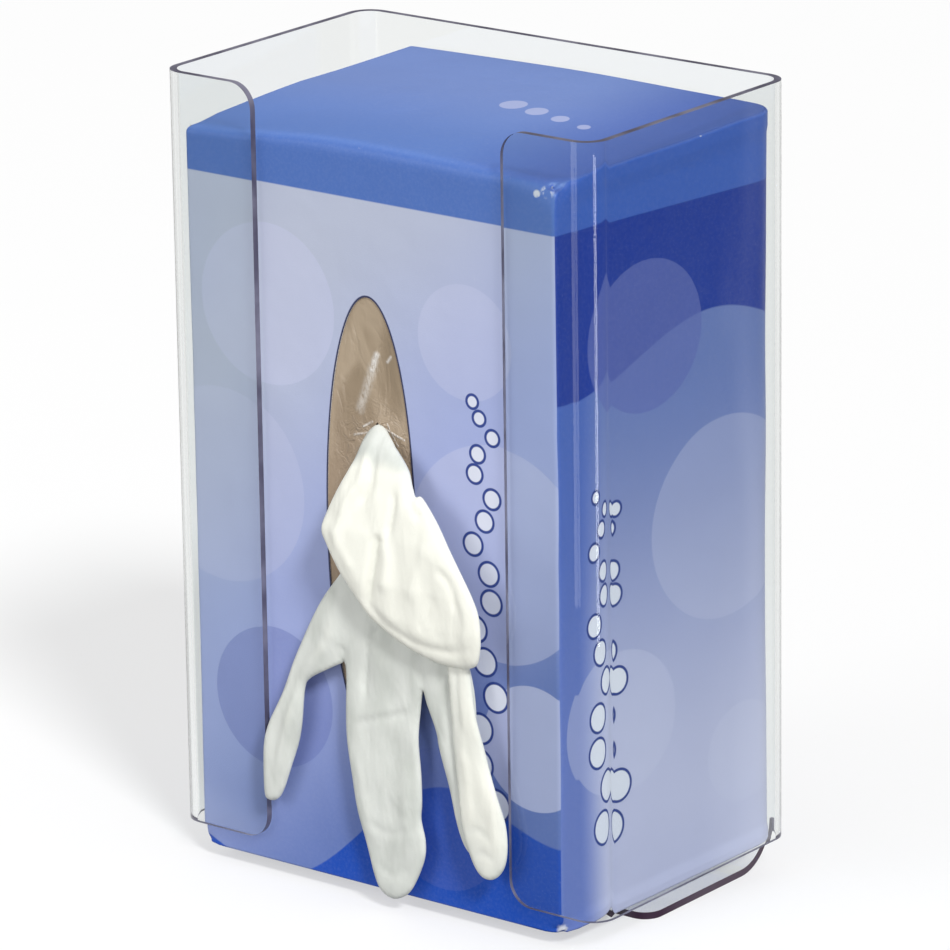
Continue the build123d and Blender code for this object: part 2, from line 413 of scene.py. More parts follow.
@dataclass(frozen=True)
class Bubble:
    """One round printed shape.

    Its place is across and up on an upright panel, and across and back on the top.
    """

    panel: Panel
    across: float
    up: float
    radius: float
    colour: Colour
    cover: float = 1.0
    rim: Colour | None = None


def bubble_column(panel: Panel, across: float, lowest: float, count: int) -> list[Bubble]:
    """Lays out a rising column of small outlined bubbles that shrink as they go up.

    Args:
        panel: The side that it is printed on.
        across: The column's middle.
        lowest: Height of the lowest bubble's centre.
        count: Number of bubbles.

    Returns:
        The bubbles, from the lowest up.
    """
    white, navy = ink(228, 232, 246), ink(38, 62, 140)
    largest, shrink, sway, turn, spacing = 5.2, 3.4, 4.2, 1.9, 2.55
    column = []
    height = lowest
    for number in range(count):
        radius = largest - shrink * number / (count - 1)
        aside = sway * math.sin(number * turn)
        column.append(Bubble(panel, across + aside, height, radius, white, 1.0, navy))
        height += radius * spacing
    return column


@dataclass(frozen=True)
class PrintedCard:
    """Varnished carton print: a blue band above, pale lavender below, and plain round bubbles."""

    oval: tuple[float, float, float, float]
    band_foot: float = 236.4
    band: Colour = ink(80, 116, 190)
    side_band: Colour = ink(58, 98, 190)
    crown: Colour = ink(118, 143, 205)
    crown_front: Colour = ink(94, 128, 198)
    crown_right: Colour = ink(76, 104, 182)
    pale: Colour = ink(190, 197, 217)
    middle: Colour = ink(168, 180, 228)
    low: Colour = ink(98, 121, 186)
    deep: Colour = ink(6, 74, 182)
    side_deep: Colour = ink(14, 54, 156)
    side_high: Colour = ink(106, 127, 190)
    side_low: Colour = ink(196, 200, 231)
    side_front: Colour = ink(60, 98, 190)
    board: Colour = ink(226, 228, 232)
    outline: Colour = ink(48, 50, 84)
    lean: float = 0.8
    pale_to_middle: Point = (240.0, 115.0)
    middle_to_low: Point = (118.0, 20.0)
    side_fade: Point = (190.0, 30.0)
    side_front_fade: Point = (-36.0, -54.0)
    crown_front_fade: Point = (-60.0, 5.0)
    crown_right_fade: Point = (15.0, 75.0)
    band_edge: float = 0.3
    swell_edge: float = 0.4
    bubble_edge: float = 0.2
    rim_width: float = 0.95
    rim_edge: float = 0.15
    turned: float = 0.7
    relief_depth: float = 0.12
    torn: tuple[tuple[Spot, float], ...] = (
        ((67.5, -61.0, 250.4), 2.8),
        ((63.8, -61.3, 249.2), 1.6),
        ((70.0, -61.0, 5.6), 3.2),
        ((-77.6, -61.0, 6.0), 2.6),
    )

    def bubbles(self) -> list[Bubble]:
        """Lays out the whole design.

        Returns:
            The bubbles in printing order.
        """
        glow = ink(206, 210, 238)
        dusk = ink(96, 110, 184)
        large = [
            Bubble(Panel.FRONT, -46, 196, 27, glow, 0.42),
            Bubble(Panel.FRONT, -66, 132, 33, glow, 0.30),
            Bubble(Panel.FRONT, -47, 62, 24, dusk, 0.40),
            Bubble(Panel.FRONT, 34, 196, 19, glow, 0.34),
            Bubble(Panel.FRONT, 46, 128, 36, glow, 0.40),
            Bubble(Panel.FRONT, 22, 34, 24, dusk, 0.22),
            Bubble(Panel.FRONT, 60, 66, 21, glow, 0.62),
            Bubble(Panel.RIGHT, -22, 196, 25, dusk, 0.70),
            Bubble(Panel.RIGHT, 14, 128, 34, glow, 0.28),
            Bubble(Panel.RIGHT, -34, 70, 24, glow, 0.34),
            Bubble(Panel.RIGHT, 22, 46, 17, glow, 0.30),
            Bubble(Panel.LEFT, -12, 178, 28, glow, 0.34),
            Bubble(Panel.LEFT, 12, 92, 34, glow, 0.30),
            Bubble(Panel.BACK, 20, 150, 40, glow, 0.30),
            Bubble(Panel.BACK, -36, 70, 30, dusk, 0.40),
        ]
        crown = [Bubble(Panel.TOP, 12 + 11 * n, -6 - 2.2 * n, 4.6 - 0.8 * n, glow, 0.5) for n in range(4)]
        return (large + crown + bubble_column(Panel.FRONT, 40, 30, 17)
                + bubble_column(Panel.RIGHT, -40, 36, 13) + bubble_column(Panel.LEFT, 20, 40, 11))

    def _field(self, bench: Bench, z: Signal, across: Signal, on_side: Signal) -> Signal:
        """Paints the lavender ground of the upright panels and the deep blue swells on it.

        Args:
            bench: The material.
            z: Height.
            across: Place across the panel.
            on_side: 1 on the two sides, 0 on the front and back.

        Returns:
            The ground's colour.
        """
        slope = z - across * self.lean
        front = bench.blend(slope.rise(*self.pale_to_middle), self.pale, self.middle)
        front = bench.blend(slope.rise(*self.middle_to_low), front, self.low)
        swell = 26 + (across * 0.052 + 0.6).sine() * 13 + across * 0.28
        front = bench.blend((swell - z).rise(-self.swell_edge, self.swell_edge), front, self.deep)
        side = bench.blend(z.rise(*self.side_fade), self.side_high, self.side_low)
        side = bench.blend(across.rise(*self.side_front_fade) * 0.8, side, self.side_front)
        crest = 190 + (across * 0.05 + 1.2).sine() * 9
        side = bench.blend((z - crest).rise(-self.swell_edge, self.swell_edge), side, self.side_deep)
        return bench.blend(on_side, front, side)

    def material(self) -> bpy.types.Material:
        """Makes the material.

        Returns:
            The print, worn white at the folds.
        """
        bench = new_bench("carton_print")
        at = bench.place()
        x, y, z = bench.axes(at)
        facing = bench.facing()
        nx, ny, nz = bench.axes(facing)
        on_side = abs(nx) > self.turned
        on_top = abs(nz) > self.turned
        across = x + (y - x) * on_side
        flat = bench.joined(across, z + (y - z) * on_top)
        gates = {panel: bench.along(facing, panel.value) > self.turned for panel in Panel}

        colour = self._field(bench, z, across, on_side)
        band = bench.blend(on_side, self.band, self.side_band)
        colour = bench.blend((z - self.band_foot).rise(-self.band_edge, self.band_edge), colour, band)
        crown = bench.blend(y.rise(*self.crown_front_fade), self.crown_front, self.crown)
        crown = bench.blend(x.rise(*self.crown_right_fade), crown, self.crown_right)
        colour = bench.blend(nz.rise(0.5, 0.9), colour, crown)
        for bubble in self.bubbles():
            colour = self._with_bubble(bench, colour, bubble, flat, gates[bubble.panel])
        colour = bench.blend(self._ring(bench, x, z) * gates[Panel.FRONT], colour, self.outline)

        mottle = bench.noise(at, 0.9, 4.0, 0.6)
        cloud = bench.noise(at, 0.018, 2.0)
        colour = bench.blend(mottle.rise(0.35, 0.8) * 0.035, colour, self.board)
        colour = bench.blend(cloud.rise(0.3, 0.8) * 0.08, colour, self.low)
        fold = 1 - abs(nx).above(abs(ny)).above(abs(nz))
        rub = bench.noise(at, 0.22, 4.0, 0.65)
        worn = fold.rise(0.08, 0.25) * rub.rise(0.66, 0.74)
        for corner, reach in self.torn:
            worn = worn.above(bench.distance(at, corner).rise(reach, reach / 2) * rub.rise(0.44, 0.54))
        colour = bench.blend(worn * 0.85, colour, self.board)
        scuffs = bench.noise(bench.stretched(at, 1.0, 1.0, 0.35), 0.4, 5.0, 0.7).rise(0.70, 0.78)
        colour = bench.blend(scuffs * 0.14, colour, self.board)

        grain = bench.noise(bench.stretched(at, 1.0, 1.0, 2.5), 1.6)
        relief = grain * 0.35 + bench.noise(at, 0.05, 2.0) * 4 - worn * 0.8
        roughness = 0.34 + mottle * 0.16 + worn * 0.3 + on_top * 0.22
        return bench.finished(bench.principled(Base_Color=colour, Roughness=roughness,
                                               Specular_IOR_Level=0.32,
                                               Normal=bench.bump(relief, self.relief_depth)))

    def _with_bubble(self, bench: Bench, colour: Signal, bubble: Bubble, flat: Signal,
                     gate: Signal) -> Signal:
        """Prints one bubble.

        Args:
            bench: The material.
            colour: What is printed so far.
            bubble: The bubble.
            flat: The place on the panel.
            gate: 1 on the bubble's own panel.

        Returns:
            The colour with the bubble.
        """
        gap = bench.distance(flat, (bubble.across, bubble.up, 0))
        if bubble.rim:
            outer = bubble.radius + self.rim_width
            rim = gap.rise(outer + self.rim_edge, outer - self.rim_edge)
            colour = bench.blend(rim * gate, colour, bubble.rim)
        disc = gap.rise(bubble.radius + self.bubble_edge, bubble.radius - self.bubble_edge)
        return bench.blend(disc * gate * bubble.cover, colour, bubble.colour)

    def _ring(self, bench: Bench, x: Signal, z: Signal) -> Signal:
        """Draws the thin line round the oval.

        Args:
            bench: The material.
            x: Place across.
            z: Height.

        Returns:
            1 on the line; its width is nearly the same all round.
        """
        centre_x, centre_z, half_width, half_height = self.oval
        right, up = (x - centre_x) / half_width, (z - centre_z) / half_height
        size = bench.vector("LENGTH", bench.joined(right, up), output="Value")
        slope = bench.vector("LENGTH", bench.joined(right / half_width, up / half_height), output="Value")
        return ((size - 1) * size / slope).rise(0.75, 0.45)


@dataclass(frozen=True)
class BareCard:
    """Unprinted grey-white board, as on the carton's inside and its cut edges."""

    pale: Colour = ink(206, 204, 198)
    dark: Colour = ink(160, 156, 150)
    fibre_depth: float = 0.06

    def material(self) -> bpy.types.Material:
        """Makes the material.

        Returns:
            Matt fibrous board.
        """
        bench = new_bench("carton_board")
        fibres = bench.noise(bench.stretched(bench.place(), 0.6, 0.6, 2.2), 1.1, 4.0, 0.65)
        colour = bench.blend(fibres.rise(0.35, 0.7), self.pale, self.dark)
        return bench.finished(bench.principled(Base_Color=colour, Roughness=0.86,
                                               Normal=bench.bump(fibres, self.fibre_depth)))


@dataclass(frozen=True)
class CrinkledFilm:
    """Thin tan film, tight and smooth at the glue, with crinkles at its slit and painted white highlight
    streaks, shaped as stretch lines, round it.
    """

    slit: Point
    tan: Colour = ink(180, 162, 139)
    brown: Colour = ink(152, 134, 111)
    rosy: Colour = ink(178, 156, 135)
    # Painted highlight: the white of the glint streaks.
    white: Colour = ink(246, 244, 240)
    fan_reach: float = 26.0
    fan_full: float = 6.0
    relief_depth: float = 0.5
    # Painted highlights: glint streaks, each a start, an end, a spread and a cover, laid out as stretch
    # lines.
    stretched: tuple[tuple[Point, Point, float, float], ...] = (
        ((-2.6, 185.5), (-4.6, 180.5), 1.5, 0.85),
        ((-4.2, 181.0), (-9.6, 167.0), 2.1, 0.42),
        ((3.4, 186.0), (1.8, 184.2), 0.7, 0.60),
        ((-2.0, 162.6), (8.4, 159.4), 0.45, 0.80),
        ((1.5, 163.6), (6.0, 157.0), 0.35, 0.50),
        ((-4.4, 163.4), (-8.2, 161.2), 0.45, 0.60),
        ((-6.0, 159.6), (-12.4, 157.6), 0.45, 0.55),
        ((-5.2, 160.6), (-9.6, 153.0), 0.35, 0.40),
    )

    def material(self) -> bpy.types.Material:
        """Makes the material.

        Returns:
            A glossy film, with painted white highlight streaks along its stretch lines.
        """
        bench = new_bench("slit_film_glossy")
        x, _, z = bench.axes(bench.place())
        flat = bench.joined(x, z)
        drawn = bench.stretched(flat, 1.0, 0.45, 1.0)
        shade = bench.noise(drawn, 0.055, 2.0, 0.5, 0.8)
        colour = bench.blend(shade.rise(0.44, 0.60) * 0.8, self.tan, self.brown)
        colour = bench.blend(z.rise(185, 130) * 0.6, colour, self.rosy)
        fine = bench.noise(drawn, 0.9, 3.0, 0.6)
        # Painted highlights: white glint streaks along the stretch lines, also raised a little in the bump.
        glint_streaks = 0.0
        for start, end, spread, cover in self.stretched:
            gap = bench.stroke(flat, start, end)
            glint_streaks = (gap.rise(spread * 1.35, 0.0) * cover * fine.rise(0.25, 0.60)).above(glint_streaks)
        colour = bench.blend(glint_streaks, colour, self.white)
        near = bench.distance(flat, (*self.slit, 0)).rise(self.fan_reach, self.fan_full)
        folds = abs(bench.noise(drawn, 0.16, 2.0, 0.5, 0.8) - 0.5) * 2
        fans = abs(bench.noise(flat, 0.24, 3.0, 0.55, 0.8) - 0.5) * 2
        relief = folds * 0.7 + fans * near * 1.4 + glint_streaks * 0.5 + fine * 0.05
        return bench.finished(bench.principled(Base_Color=colour, Roughness=0.22 + shade * 0.1,
                                               Specular_IOR_Level=0.6,
                                               Normal=bench.bump(relief, self.relief_depth)))


@dataclass(frozen=True)
class Latex:
    """Powdered natural latex: soft, slightly creamy and finely wrinkled.

    Closer to the front than double_y it is painted whiter: partly because the latex lies doubled there, and
    partly as painted light, the outer layers lit more brightly than the palm behind them.
    """

    name: str
    pale: Colour
    shaded: Colour
    # Whiter colour closer to the front: partly the doubled latex, partly painted light on the outer layers.
    double: Colour
    double_y: float
    double_fade: float = 1.5
    relief_depth: float = 0.48

    def material(self) -> bpy.types.Material:
        """Makes the material.

        Returns:
            Soft latex with broad folds and faint wrinkles.
        """
        bench = new_bench(self.name)
        at = bench.place()
        _, y, _ = bench.axes(at)
        drawn = bench.stretched(at, 1.0, 0.7, 0.40)
        clouds = bench.noise(drawn, 0.11, 3.0, 0.55)
        single = bench.blend(clouds.rise(0.35, 0.7), self.pale, self.shaded)
        # Painted light, with the doubled latex: closer to the front than double_y the colour turns whiter.
        double_and_lit_share = y.rise(self.double_y + self.double_fade, self.double_y - self.double_fade)
        colour = bench.blend(double_and_lit_share, single, self.double)
        powder = bench.noise(at, 1.4, 4.0, 0.7)
        colour = bench.blend(powder.rise(0.50, 0.8) * 0.12, colour, self.shaded)
        folds = bench.noise(drawn, 0.10, 2.0, 0.5, 0.8)
        crepe = bench.noise(drawn, 0.5, 3.0, 0.55, 0.6)
        relief = folds * 1.3 + crepe * 0.22 + powder * 0.05
        return bench.finished(bench.principled(Base_Color=colour, Roughness=0.50 + clouds * 0.14,
                                               Specular_IOR_Level=0.3,
                                               Normal=bench.bump(relief, self.relief_depth)))


@dataclass(frozen=True)
class StudioGround:
    """The plain ground: white where it is looked at, with the shadow kept, and dimmer in what it sends back.

    The sweep is the way in which white paper runs on behind the dispenser, for its rounded edges to mirror.
    """

    white: Colour = ink(250, 250, 250)
    speckled: Colour = ink(244, 244, 244)
    bounce: Colour = ink(158, 158, 158)
    mirrored: Colour = ink(84, 84, 84)
    lift: float = 0.55
    sweep: Spot = (-0.616, 0.788, 0.0)
    start: Spot = (50.0, -64.0, 0.0)

    def material(self) -> bpy.types.Material:
        """Makes the material.

        Returns:
            The floor's material.
        """
        bench = new_bench("studio_ground")
        at = bench.place()
        tone = bench.blend(bench.noise(at, 0.02, 2.0) * 0.2, self.white, self.speckled)
        mirrored = bench.ray("Glossy Depth") > 0.5
        seen = bench.ray("Is Camera Ray").above(bench.ray("Is Transmission Ray")) * (1 - mirrored)
        way = bench.vector("NORMALIZE", bench.vector("SUBTRACT", at, self.start))
        behind = bench.along(way, self.sweep).rise(0.30, 0.50)
        sent = bench.blend(mirrored, self.bounce, bench.blend(behind, self.mirrored, self.white))
        colour = bench.blend(seen, sent, tone)
        matt = bench.principled(Base_Color=colour, Roughness=0.9, Specular_IOR_Level=0.1)
        white = bench.node("ShaderNodeEmission", sockets={"Color": WHITE, "Strength": 1.0})
        lifted = seen.above(mirrored * behind) * self.lift
        return bench.finished(bench.mixed(lifted, matt, white))


# ---------------------------------------------------------------------------------------------
# Mesh making
# ---------------------------------------------------------------------------------------------


def make_object(name: str, vertices: np.ndarray, faces: Sequence[Sequence[int]],
                materials: Sequence[bpy.types.Material], slots: Sequence[int] | None = None,
                crease: float = 40.0) -> bpy.types.Object:
    """Makes a mesh object out of millimetre points.

    Args:
        name: The piece's name.
        vertices: Points in millimetres.
        faces: Corner numbers of each face.
        materials: The material slots.
        slots: The slot of each face, or None for the first.
        crease: Edges sharper than this many degrees stay sharp.

    Returns:
        The object, in the scene.
    """
    mesh = bpy.data.meshes.new(name)
    mesh.from_pydata((np.asarray(vertices) * MM).tolist(), [], [list(map(int, face)) for face in faces])
    for material in materials:
        mesh.materials.append(material)
    if slots is not None:
        mesh.polygons.foreach_set("material_index", np.asarray(slots, dtype=np.int32))
    tidy = bmesh.new()
    tidy.from_mesh(mesh)
    bmesh.ops.recalc_face_normals(tidy, faces=tidy.faces)
    tidy.to_mesh(mesh)
    tidy.free()
    mesh.shade_smooth()
    mesh.set_sharp_from_angle(angle=math.radians(crease))
    piece = bpy.data.objects.new(name, mesh)
    bpy.context.scene.collection.objects.link(piece)
    return piece


def apply_modifiers(piece: bpy.types.Object) -> None:
    """Bakes a piece's modifiers into its mesh.

    Args:
        piece: The piece.
    """
    graph = bpy.context.evaluated_depsgraph_get()
    made = bpy.data.meshes.new_from_object(piece.evaluated_get(graph))
    piece.modifiers.clear()
    piece.data = made


def join(parts: Sequence[bpy.types.Object], name: str, crease: float) -> bpy.types.Object:
    """Puts several meshes into one object.

    Args:
        parts: The objects, which are used up.
        name: The new object's name.
        crease: Edges sharper than this many degrees stay sharp.

    Returns:
        The object.
    """
    whole = bmesh.new()
    for part in parts:
        whole.from_mesh(part.data)
    mesh = bpy.data.meshes.new(name)
    whole.to_mesh(mesh)
    whole.free()
    for material in parts[0].data.materials:
        mesh.materials.append(material)
    for part in parts:
        bpy.data.objects.remove(part)
    mesh.shade_smooth()
    mesh.set_sharp_from_angle(angle=math.radians(crease))
    piece = bpy.data.objects.new(name, mesh)
    bpy.context.scene.collection.objects.link(piece)
    return piece


def arc(centre: Point, radius: float, start: float, end: float, steps: int) -> list[Point]:
    """Gives points on an arc.

    Args:
        centre: Its centre.
        radius: Its radius.
        start: Start angle in degrees.
        end: End angle in degrees.
        steps: Number of steps.

    Returns:
        The points, both ends included.
    """
    angles = [math.radians(start + (end - start) * step / steps) for step in range(steps + 1)]
    return [(centre[0] + radius * math.cos(a), centre[1] + radius * math.sin(a)) for a in angles]


def rounded_box(low: Point, high: Point, radius: float, steps: int) -> list[Point]:
    """Draws an upright rectangle with round corners, from the foot of its right side up and round.

    Args:
        low: Its lower left corner, as if square.
        high: Its upper right corner, as if square.
        radius: The corners' radius.
        steps: Number of steps round each corner.

    Returns:
        The outline.
    """
    left, right = low[0] + radius, high[0] - radius
    foot, head = low[1] + radius, high[1] - radius
    centres = ((right, foot), (right, head), (left, head), (left, foot))
    return [point for quarter, centre in enumerate(centres)
            for point in arc(centre, radius, 90 * (quarter - 1), 90 * quarter, steps)]


def lattice(columns: np.ndarray, rows: np.ndarray) -> np.ndarray:
    """Gives the crossings of all columns and rows, one point a row."""
    return np.stack(np.meshgrid(columns, rows), axis=-1).reshape(-1, 2)


def smooth_loop(points: Sequence[Point], steps: int) -> list[Point]:
    """Runs a closed Catmull-Rom curve through points.

    Args:
        points: What the curve goes through.
        steps: Number of steps from each point to the next.

    Returns:
        The curve's points.
    """
    ring = np.array(points)
    before, after, beyond = np.roll(ring, 1, 0), np.roll(ring, -1, 0), np.roll(ring, -2, 0)
    curve = []
    for i in range(len(ring)):
        for step in range(steps):
            t = step / steps
            at = 0.5 * (2 * ring[i] + (after[i] - before[i]) * t
                        + (2 * before[i] - 5 * ring[i] + 4 * after[i] - beyond[i]) * t**2
                        + (3 * ring[i] - before[i] - 3 * after[i] + beyond[i]) * t**3)
            curve.append((float(at[0]), float(at[1])))
    return curve


def open_curve(points: Sequence[Point], steps: int) -> list[Point]:
    """Runs an open Catmull-Rom curve through points.

    Args:
        points: What the curve goes through.
        steps: Number of steps from each point to the next.

    Returns:
        The curve's points, both ends included.
    """
    first = tuple(2 * np.array(points[0]) - np.array(points[1]))
    last = tuple(2 * np.array(points[-1]) - np.array(points[-2]))
    closed = smooth_loop([first, *points, last], steps)
    return closed[steps:steps * len(points) + 1]


def inside(points: np.ndarray, loop: Sequence[Point]) -> np.ndarray:
    """Tests points against a closed outline by counting crossings.

    Args:
        points: Points, one a row.
        loop: The outline.

    Returns:
        True for each point inside.
    """
    ring = np.array(loop)
    result = np.zeros(len(points), dtype=bool)
    for (x1, y1), (x2, y2) in zip(ring, np.roll(ring, -1, 0)):
        crosses = (y1 > points[:, 1]) != (y2 > points[:, 1])
        if y1 != y2:
            result ^= crosses & (points[:, 0] < (x2 - x1) * (points[:, 1] - y1) / (y2 - y1) + x1)
    return result


def distance_to(points: np.ndarray, path: Sequence[Point]) -> np.ndarray:
    """Measures how far points are from a path of straight runs.

    Args:
        points: Points, one a row.
        path: The path's points.

    Returns:
        Each point's distance.
    """
    nearest = np.full(len(points), np.inf)
    for start, end in zip(np.array(path[:-1]), np.array(path[1:])):
        run = end - start
        along = np.clip((points - start) @ run / max(float(run @ run), 1e-9), 0, 1)
        nearest = np.minimum(nearest, np.linalg.norm(points - start - along[:, None] * run, axis=1))
    return nearest


@dataclass
class Blank:
    """A flat piece as it is cut from sheet, before it is bent or filled out.

    Its outline and holes are closed loops. Bend lines run right across it, and spots are extra
    points that let it curve between them.
    """

    outline: list[Point]
    holes: list[list[Point]] = field(default_factory=list)
    bends: list[tuple[Point, Point]] = field(default_factory=list)
    spots: np.ndarray = field(default_factory=lambda: np.zeros((0, 2)))

    def cut(self) -> tuple[np.ndarray, np.ndarray]:
        """Divides the blank into triangles.

        Returns:
            Its points, and the corner numbers of each triangle.
        """
        points: list[Point] = []
        edges: list[tuple[int, int]] = []
        for loop in [self.outline, *self.holes]:
            first = len(points)
            points += loop
            edges += [(first + i, first + (i + 1) % len(loop)) for i in range(len(loop))]
        for start, end in self.bends:
            edges.append((len(points), len(points) + 1))
            points += [start, end]
        points += [tuple(spot) for spot in self.spots]
        made, _, triangles, *_ = delaunay_2d_cdt([Vector(p) for p in points], edges, [], 0, 1e-5)
        flat = np.array([(p[0], p[1]) for p in made])
        corners = np.array([list(face) for face in triangles])
        middles = flat[corners].mean(axis=1)
        kept = inside(middles, self.outline)
        for hole in self.holes:
            kept &= ~inside(middles, hole)
        return flat, corners[kept]

    def raise_up(self, name: str, sides: Callable[[np.ndarray], tuple[np.ndarray, np.ndarray]],
                 materials: Sequence[bpy.types.Material], crease: float, rim: int = 0) -> bpy.types.Object:
        """Makes the closed piece that the blank becomes.

        Args:
            name: The piece's name.
            sides: Gives the front and back surface points for flat points.
            materials: The material slots; both sides take the first.
            crease: Edges sharper than this many degrees stay sharp.
            rim: Slot of the cut edge.

        Returns:
            The object.
        """
        flat, corners = self.cut()
        used = np.unique(corners)
        number = np.full(len(flat), -1)
        number[used] = np.arange(len(used))
        flat, corners = flat[used], number[corners]
        front, behind = sides(flat)
        count = len(flat)
        directed = {(a, b) for t in corners for a, b in ((t[0], t[1]), (t[1], t[2]), (t[2], t[0]))}
        border = [(a, b) for a, b in directed if (b, a) not in directed]
        rims = [(b, a, a + count, b + count) for a, b in sorted(border)]
        faces = [*corners.tolist(), *(corners[:, ::-1] + count).tolist(), *rims]
        slots = [0] * 2 * len(corners) + [rim] * len(rims)
        return make_object(name, np.vstack([front, behind]), faces, materials, slots, crease)


def speckle(points: np.ndarray, wavelength: float, seed: int) -> np.ndarray:
    """Gives smooth seeded unevenness, about -1 to 1, as a sum of waves.

    Args:
        points: Points of two or three coordinates, one a row.
        wavelength: Usual distance from crest to crest.
        seed: Picks the waves.

    Returns:
        The unevenness at each point.
    """
    rng = np.random.default_rng(seed)
    total = np.zeros(len(points))
    waves = 9
    for _ in range(waves):
        direction = rng.normal(size=points.shape[1])
        direction *= 2 * math.pi / (np.linalg.norm(direction) * wavelength * rng.uniform(0.6, 1.6))
        total += np.sin(points @ direction + rng.uniform(0, 2 * math.pi))
    return total / math.sqrt(waves * 2)


# ---------------------------------------------------------------------------------------------
# The clear holder
# ---------------------------------------------------------------------------------------------


@dataclass
class ClearHolder:
    """The pocket: back, sides and flanges bent from one sheet, with a shelf tab bent from the back."""

    wall_y: float
    top: float
    sheet: float = 2.4
    width: float = 174.0
    depth: float = 106.5
    bend: float = 8.6
    left_mouth: float = -49.1
    right_mouth: float = 51.3
    corner: float = 8.5
    foot: float = 12.4
    tab_bend: float = 16.5
    tab_reach: float = 67.8
    tab_corner: float = 6.5
    tab_half: float = 78.4
    relief: float = 1.6
    keyhole_spacing: float = 101.6
    keyhole_height: float = 214.0
    keyhole_entry: float = 5.0
    keyhole_neck: float = 2.4
    keyhole_rise: float = 9.0
    steps: int = 14

    def _stations(self) -> list[tuple[float, float, float, float, float]]:
        """Walks round the outside in plan, from the middle of the back by the right to that of the front.

        Returns:
            (walked length, x, y, outward x, outward y) at the start, at each bend line and at the end.
        """
        back, front = self.wall_y, self.wall_y - self.depth
        straight = self.width / 2 - self.bend
        walked = straight
        line = [(0.0, 0.0, back, 0.0, 1.0)]
        for centre_y, first in ((back - self.bend, 90.0), (front + self.bend, 0.0)):
            for step in range(self.steps + 1):
                turned = 90.0 * step / self.steps
                angle = math.radians(first - turned)
                out_x, out_y = math.cos(angle), math.sin(angle)
                line.append((walked + self.bend * math.radians(turned), straight + self.bend * out_x,
                             centre_y + self.bend * out_y, out_x, out_y))
            walked += self.bend * math.pi / 2 + self.depth - 2 * self.bend
        line.append((line[-1][0] + straight, 0.0, front, 0.0, -1.0))
        return line

    def _placed(self, flat: np.ndarray) -> tuple[np.ndarray, np.ndarray]:
        """Bends the blank.

        Args:
            flat: Points of the blank: length along the back and round, and height.

        Returns:
            The outside and the inside surface points.
        """
        line = np.array(self._stations())
        length = np.abs(flat[:, 0])
        sign = np.sign(flat[:, 0])
        x, y, out_x, out_y = (np.interp(length, line[:, 0], line[:, k]) for k in (1, 2, 3, 4))
        size = np.hypot(out_x, out_y)
        outside = np.stack([x * sign, y, flat[:, 1]], axis=1)
        outward = np.stack([out_x / size * sign, out_y / size, np.zeros(len(flat))], axis=1)

        on_tab = (flat[:, 1] < self.tab_bend) & (length < self.tab_half + self.relief / 2)
        below = np.where(on_tab, self.tab_bend - flat[:, 1], 0.0)
        turn = np.clip(below / self.tab_bend, 0, math.pi / 2)
        run = np.maximum(below - self.tab_bend * math.pi / 2, 0)
        centre_y = self.wall_y - self.tab_bend
        tab_y = centre_y + self.tab_bend * np.cos(turn) - run
        tab_z = self.tab_bend - self.tab_bend * np.sin(turn)
        outside[on_tab] = np.stack([flat[:, 0], tab_y, tab_z], axis=1)[on_tab]
        outward[on_tab] = np.stack([np.zeros(len(flat)), np.cos(turn), -np.sin(turn)], axis=1)[on_tab]
        return outside, outside - outward * self.sheet

    def _blank(self) -> Blank:
        """Draws the sheet as it is cut out flat.

        Returns:
            The blank, with a line for every step of each bend.
        """
        stations = self._stations()
        right_end = stations[-1][0] - self.right_mouth
        left_end = stations[-1][0] + self.left_mouth
        tab_length = self.tab_bend * math.pi / 2 + self.tab_reach - self.tab_bend
        tab_end = self.tab_bend - tab_length
        q = self.tab_corner
        half, slot = self.tab_half, self.tab_half + self.relief
        outline = [
            *rounded_box((-left_end, self.foot), (right_end, self.top), self.corner, 10),
            (-slot, self.foot), (-slot, self.tab_bend), (-half, self.tab_bend),
            *arc((q - half, tab_end + q), q, 180, 270, 10),
            *arc((half - q, tab_end + q), q, 270, 360, 10),
            (half, self.tab_bend), (slot, self.tab_bend), (slot, self.foot),
        ]
        bends = []
        for length, *_ in stations[1:-1]:
            bends += [((side * length, self.foot), (side * length, self.top)) for side in (-1, 1)]
        for step in range(self.steps + 1):
            height = self.tab_bend - self.tab_bend * math.pi / 2 * step / self.steps
            bends.append(((-half, height), (half, height)))
        return Blank(outline, [self._keyhole(side) for side in (-1, 1)], bends)

    def _keyhole(self, side: int) -> list[Point]:
        """Draws one keyhole: a round entry with a narrow round-ended slot above it.

        Args:
            side: -1 for the left one, 1 for the right one.

        Returns:
            Its outline.
        """
        x = side * self.keyhole_spacing / 2
        open_angle = math.degrees(math.acos(self.keyhole_neck / self.keyhole_entry))
        entry = arc((x, self.keyhole_height), self.keyhole_entry, 180 - open_angle, 360 + open_angle, 24)
        neck = arc((x, self.keyhole_height + self.keyhole_rise), self.keyhole_neck, 0, 180, 12)
        return entry + neck

    def build(self, clear: bpy.types.Material, sawn: bpy.types.Material) -> bpy.types.Object:
        """Cuts, bends and dresses the sheet.

        Args:
            clear: The polished faces' material.
            sawn: The edges' material.

        Returns:
            The holder.
        """
        piece = self._blank().raise_up("bent_clear_holder", self._placed, [clear, sawn], crease=35, rim=1)
        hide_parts("clear_holder")
        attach(piece, "root")
        return piece


# ---------------------------------------------------------------------------------------------
# The carton
# ---------------------------------------------------------------------------------------------


@dataclass(frozen=True)
class Knock:
    """A crushed corner of the carton's front: which side and end it is at, and its reach and depth."""

    side: float
    end: float
    reach: float
    depth: float


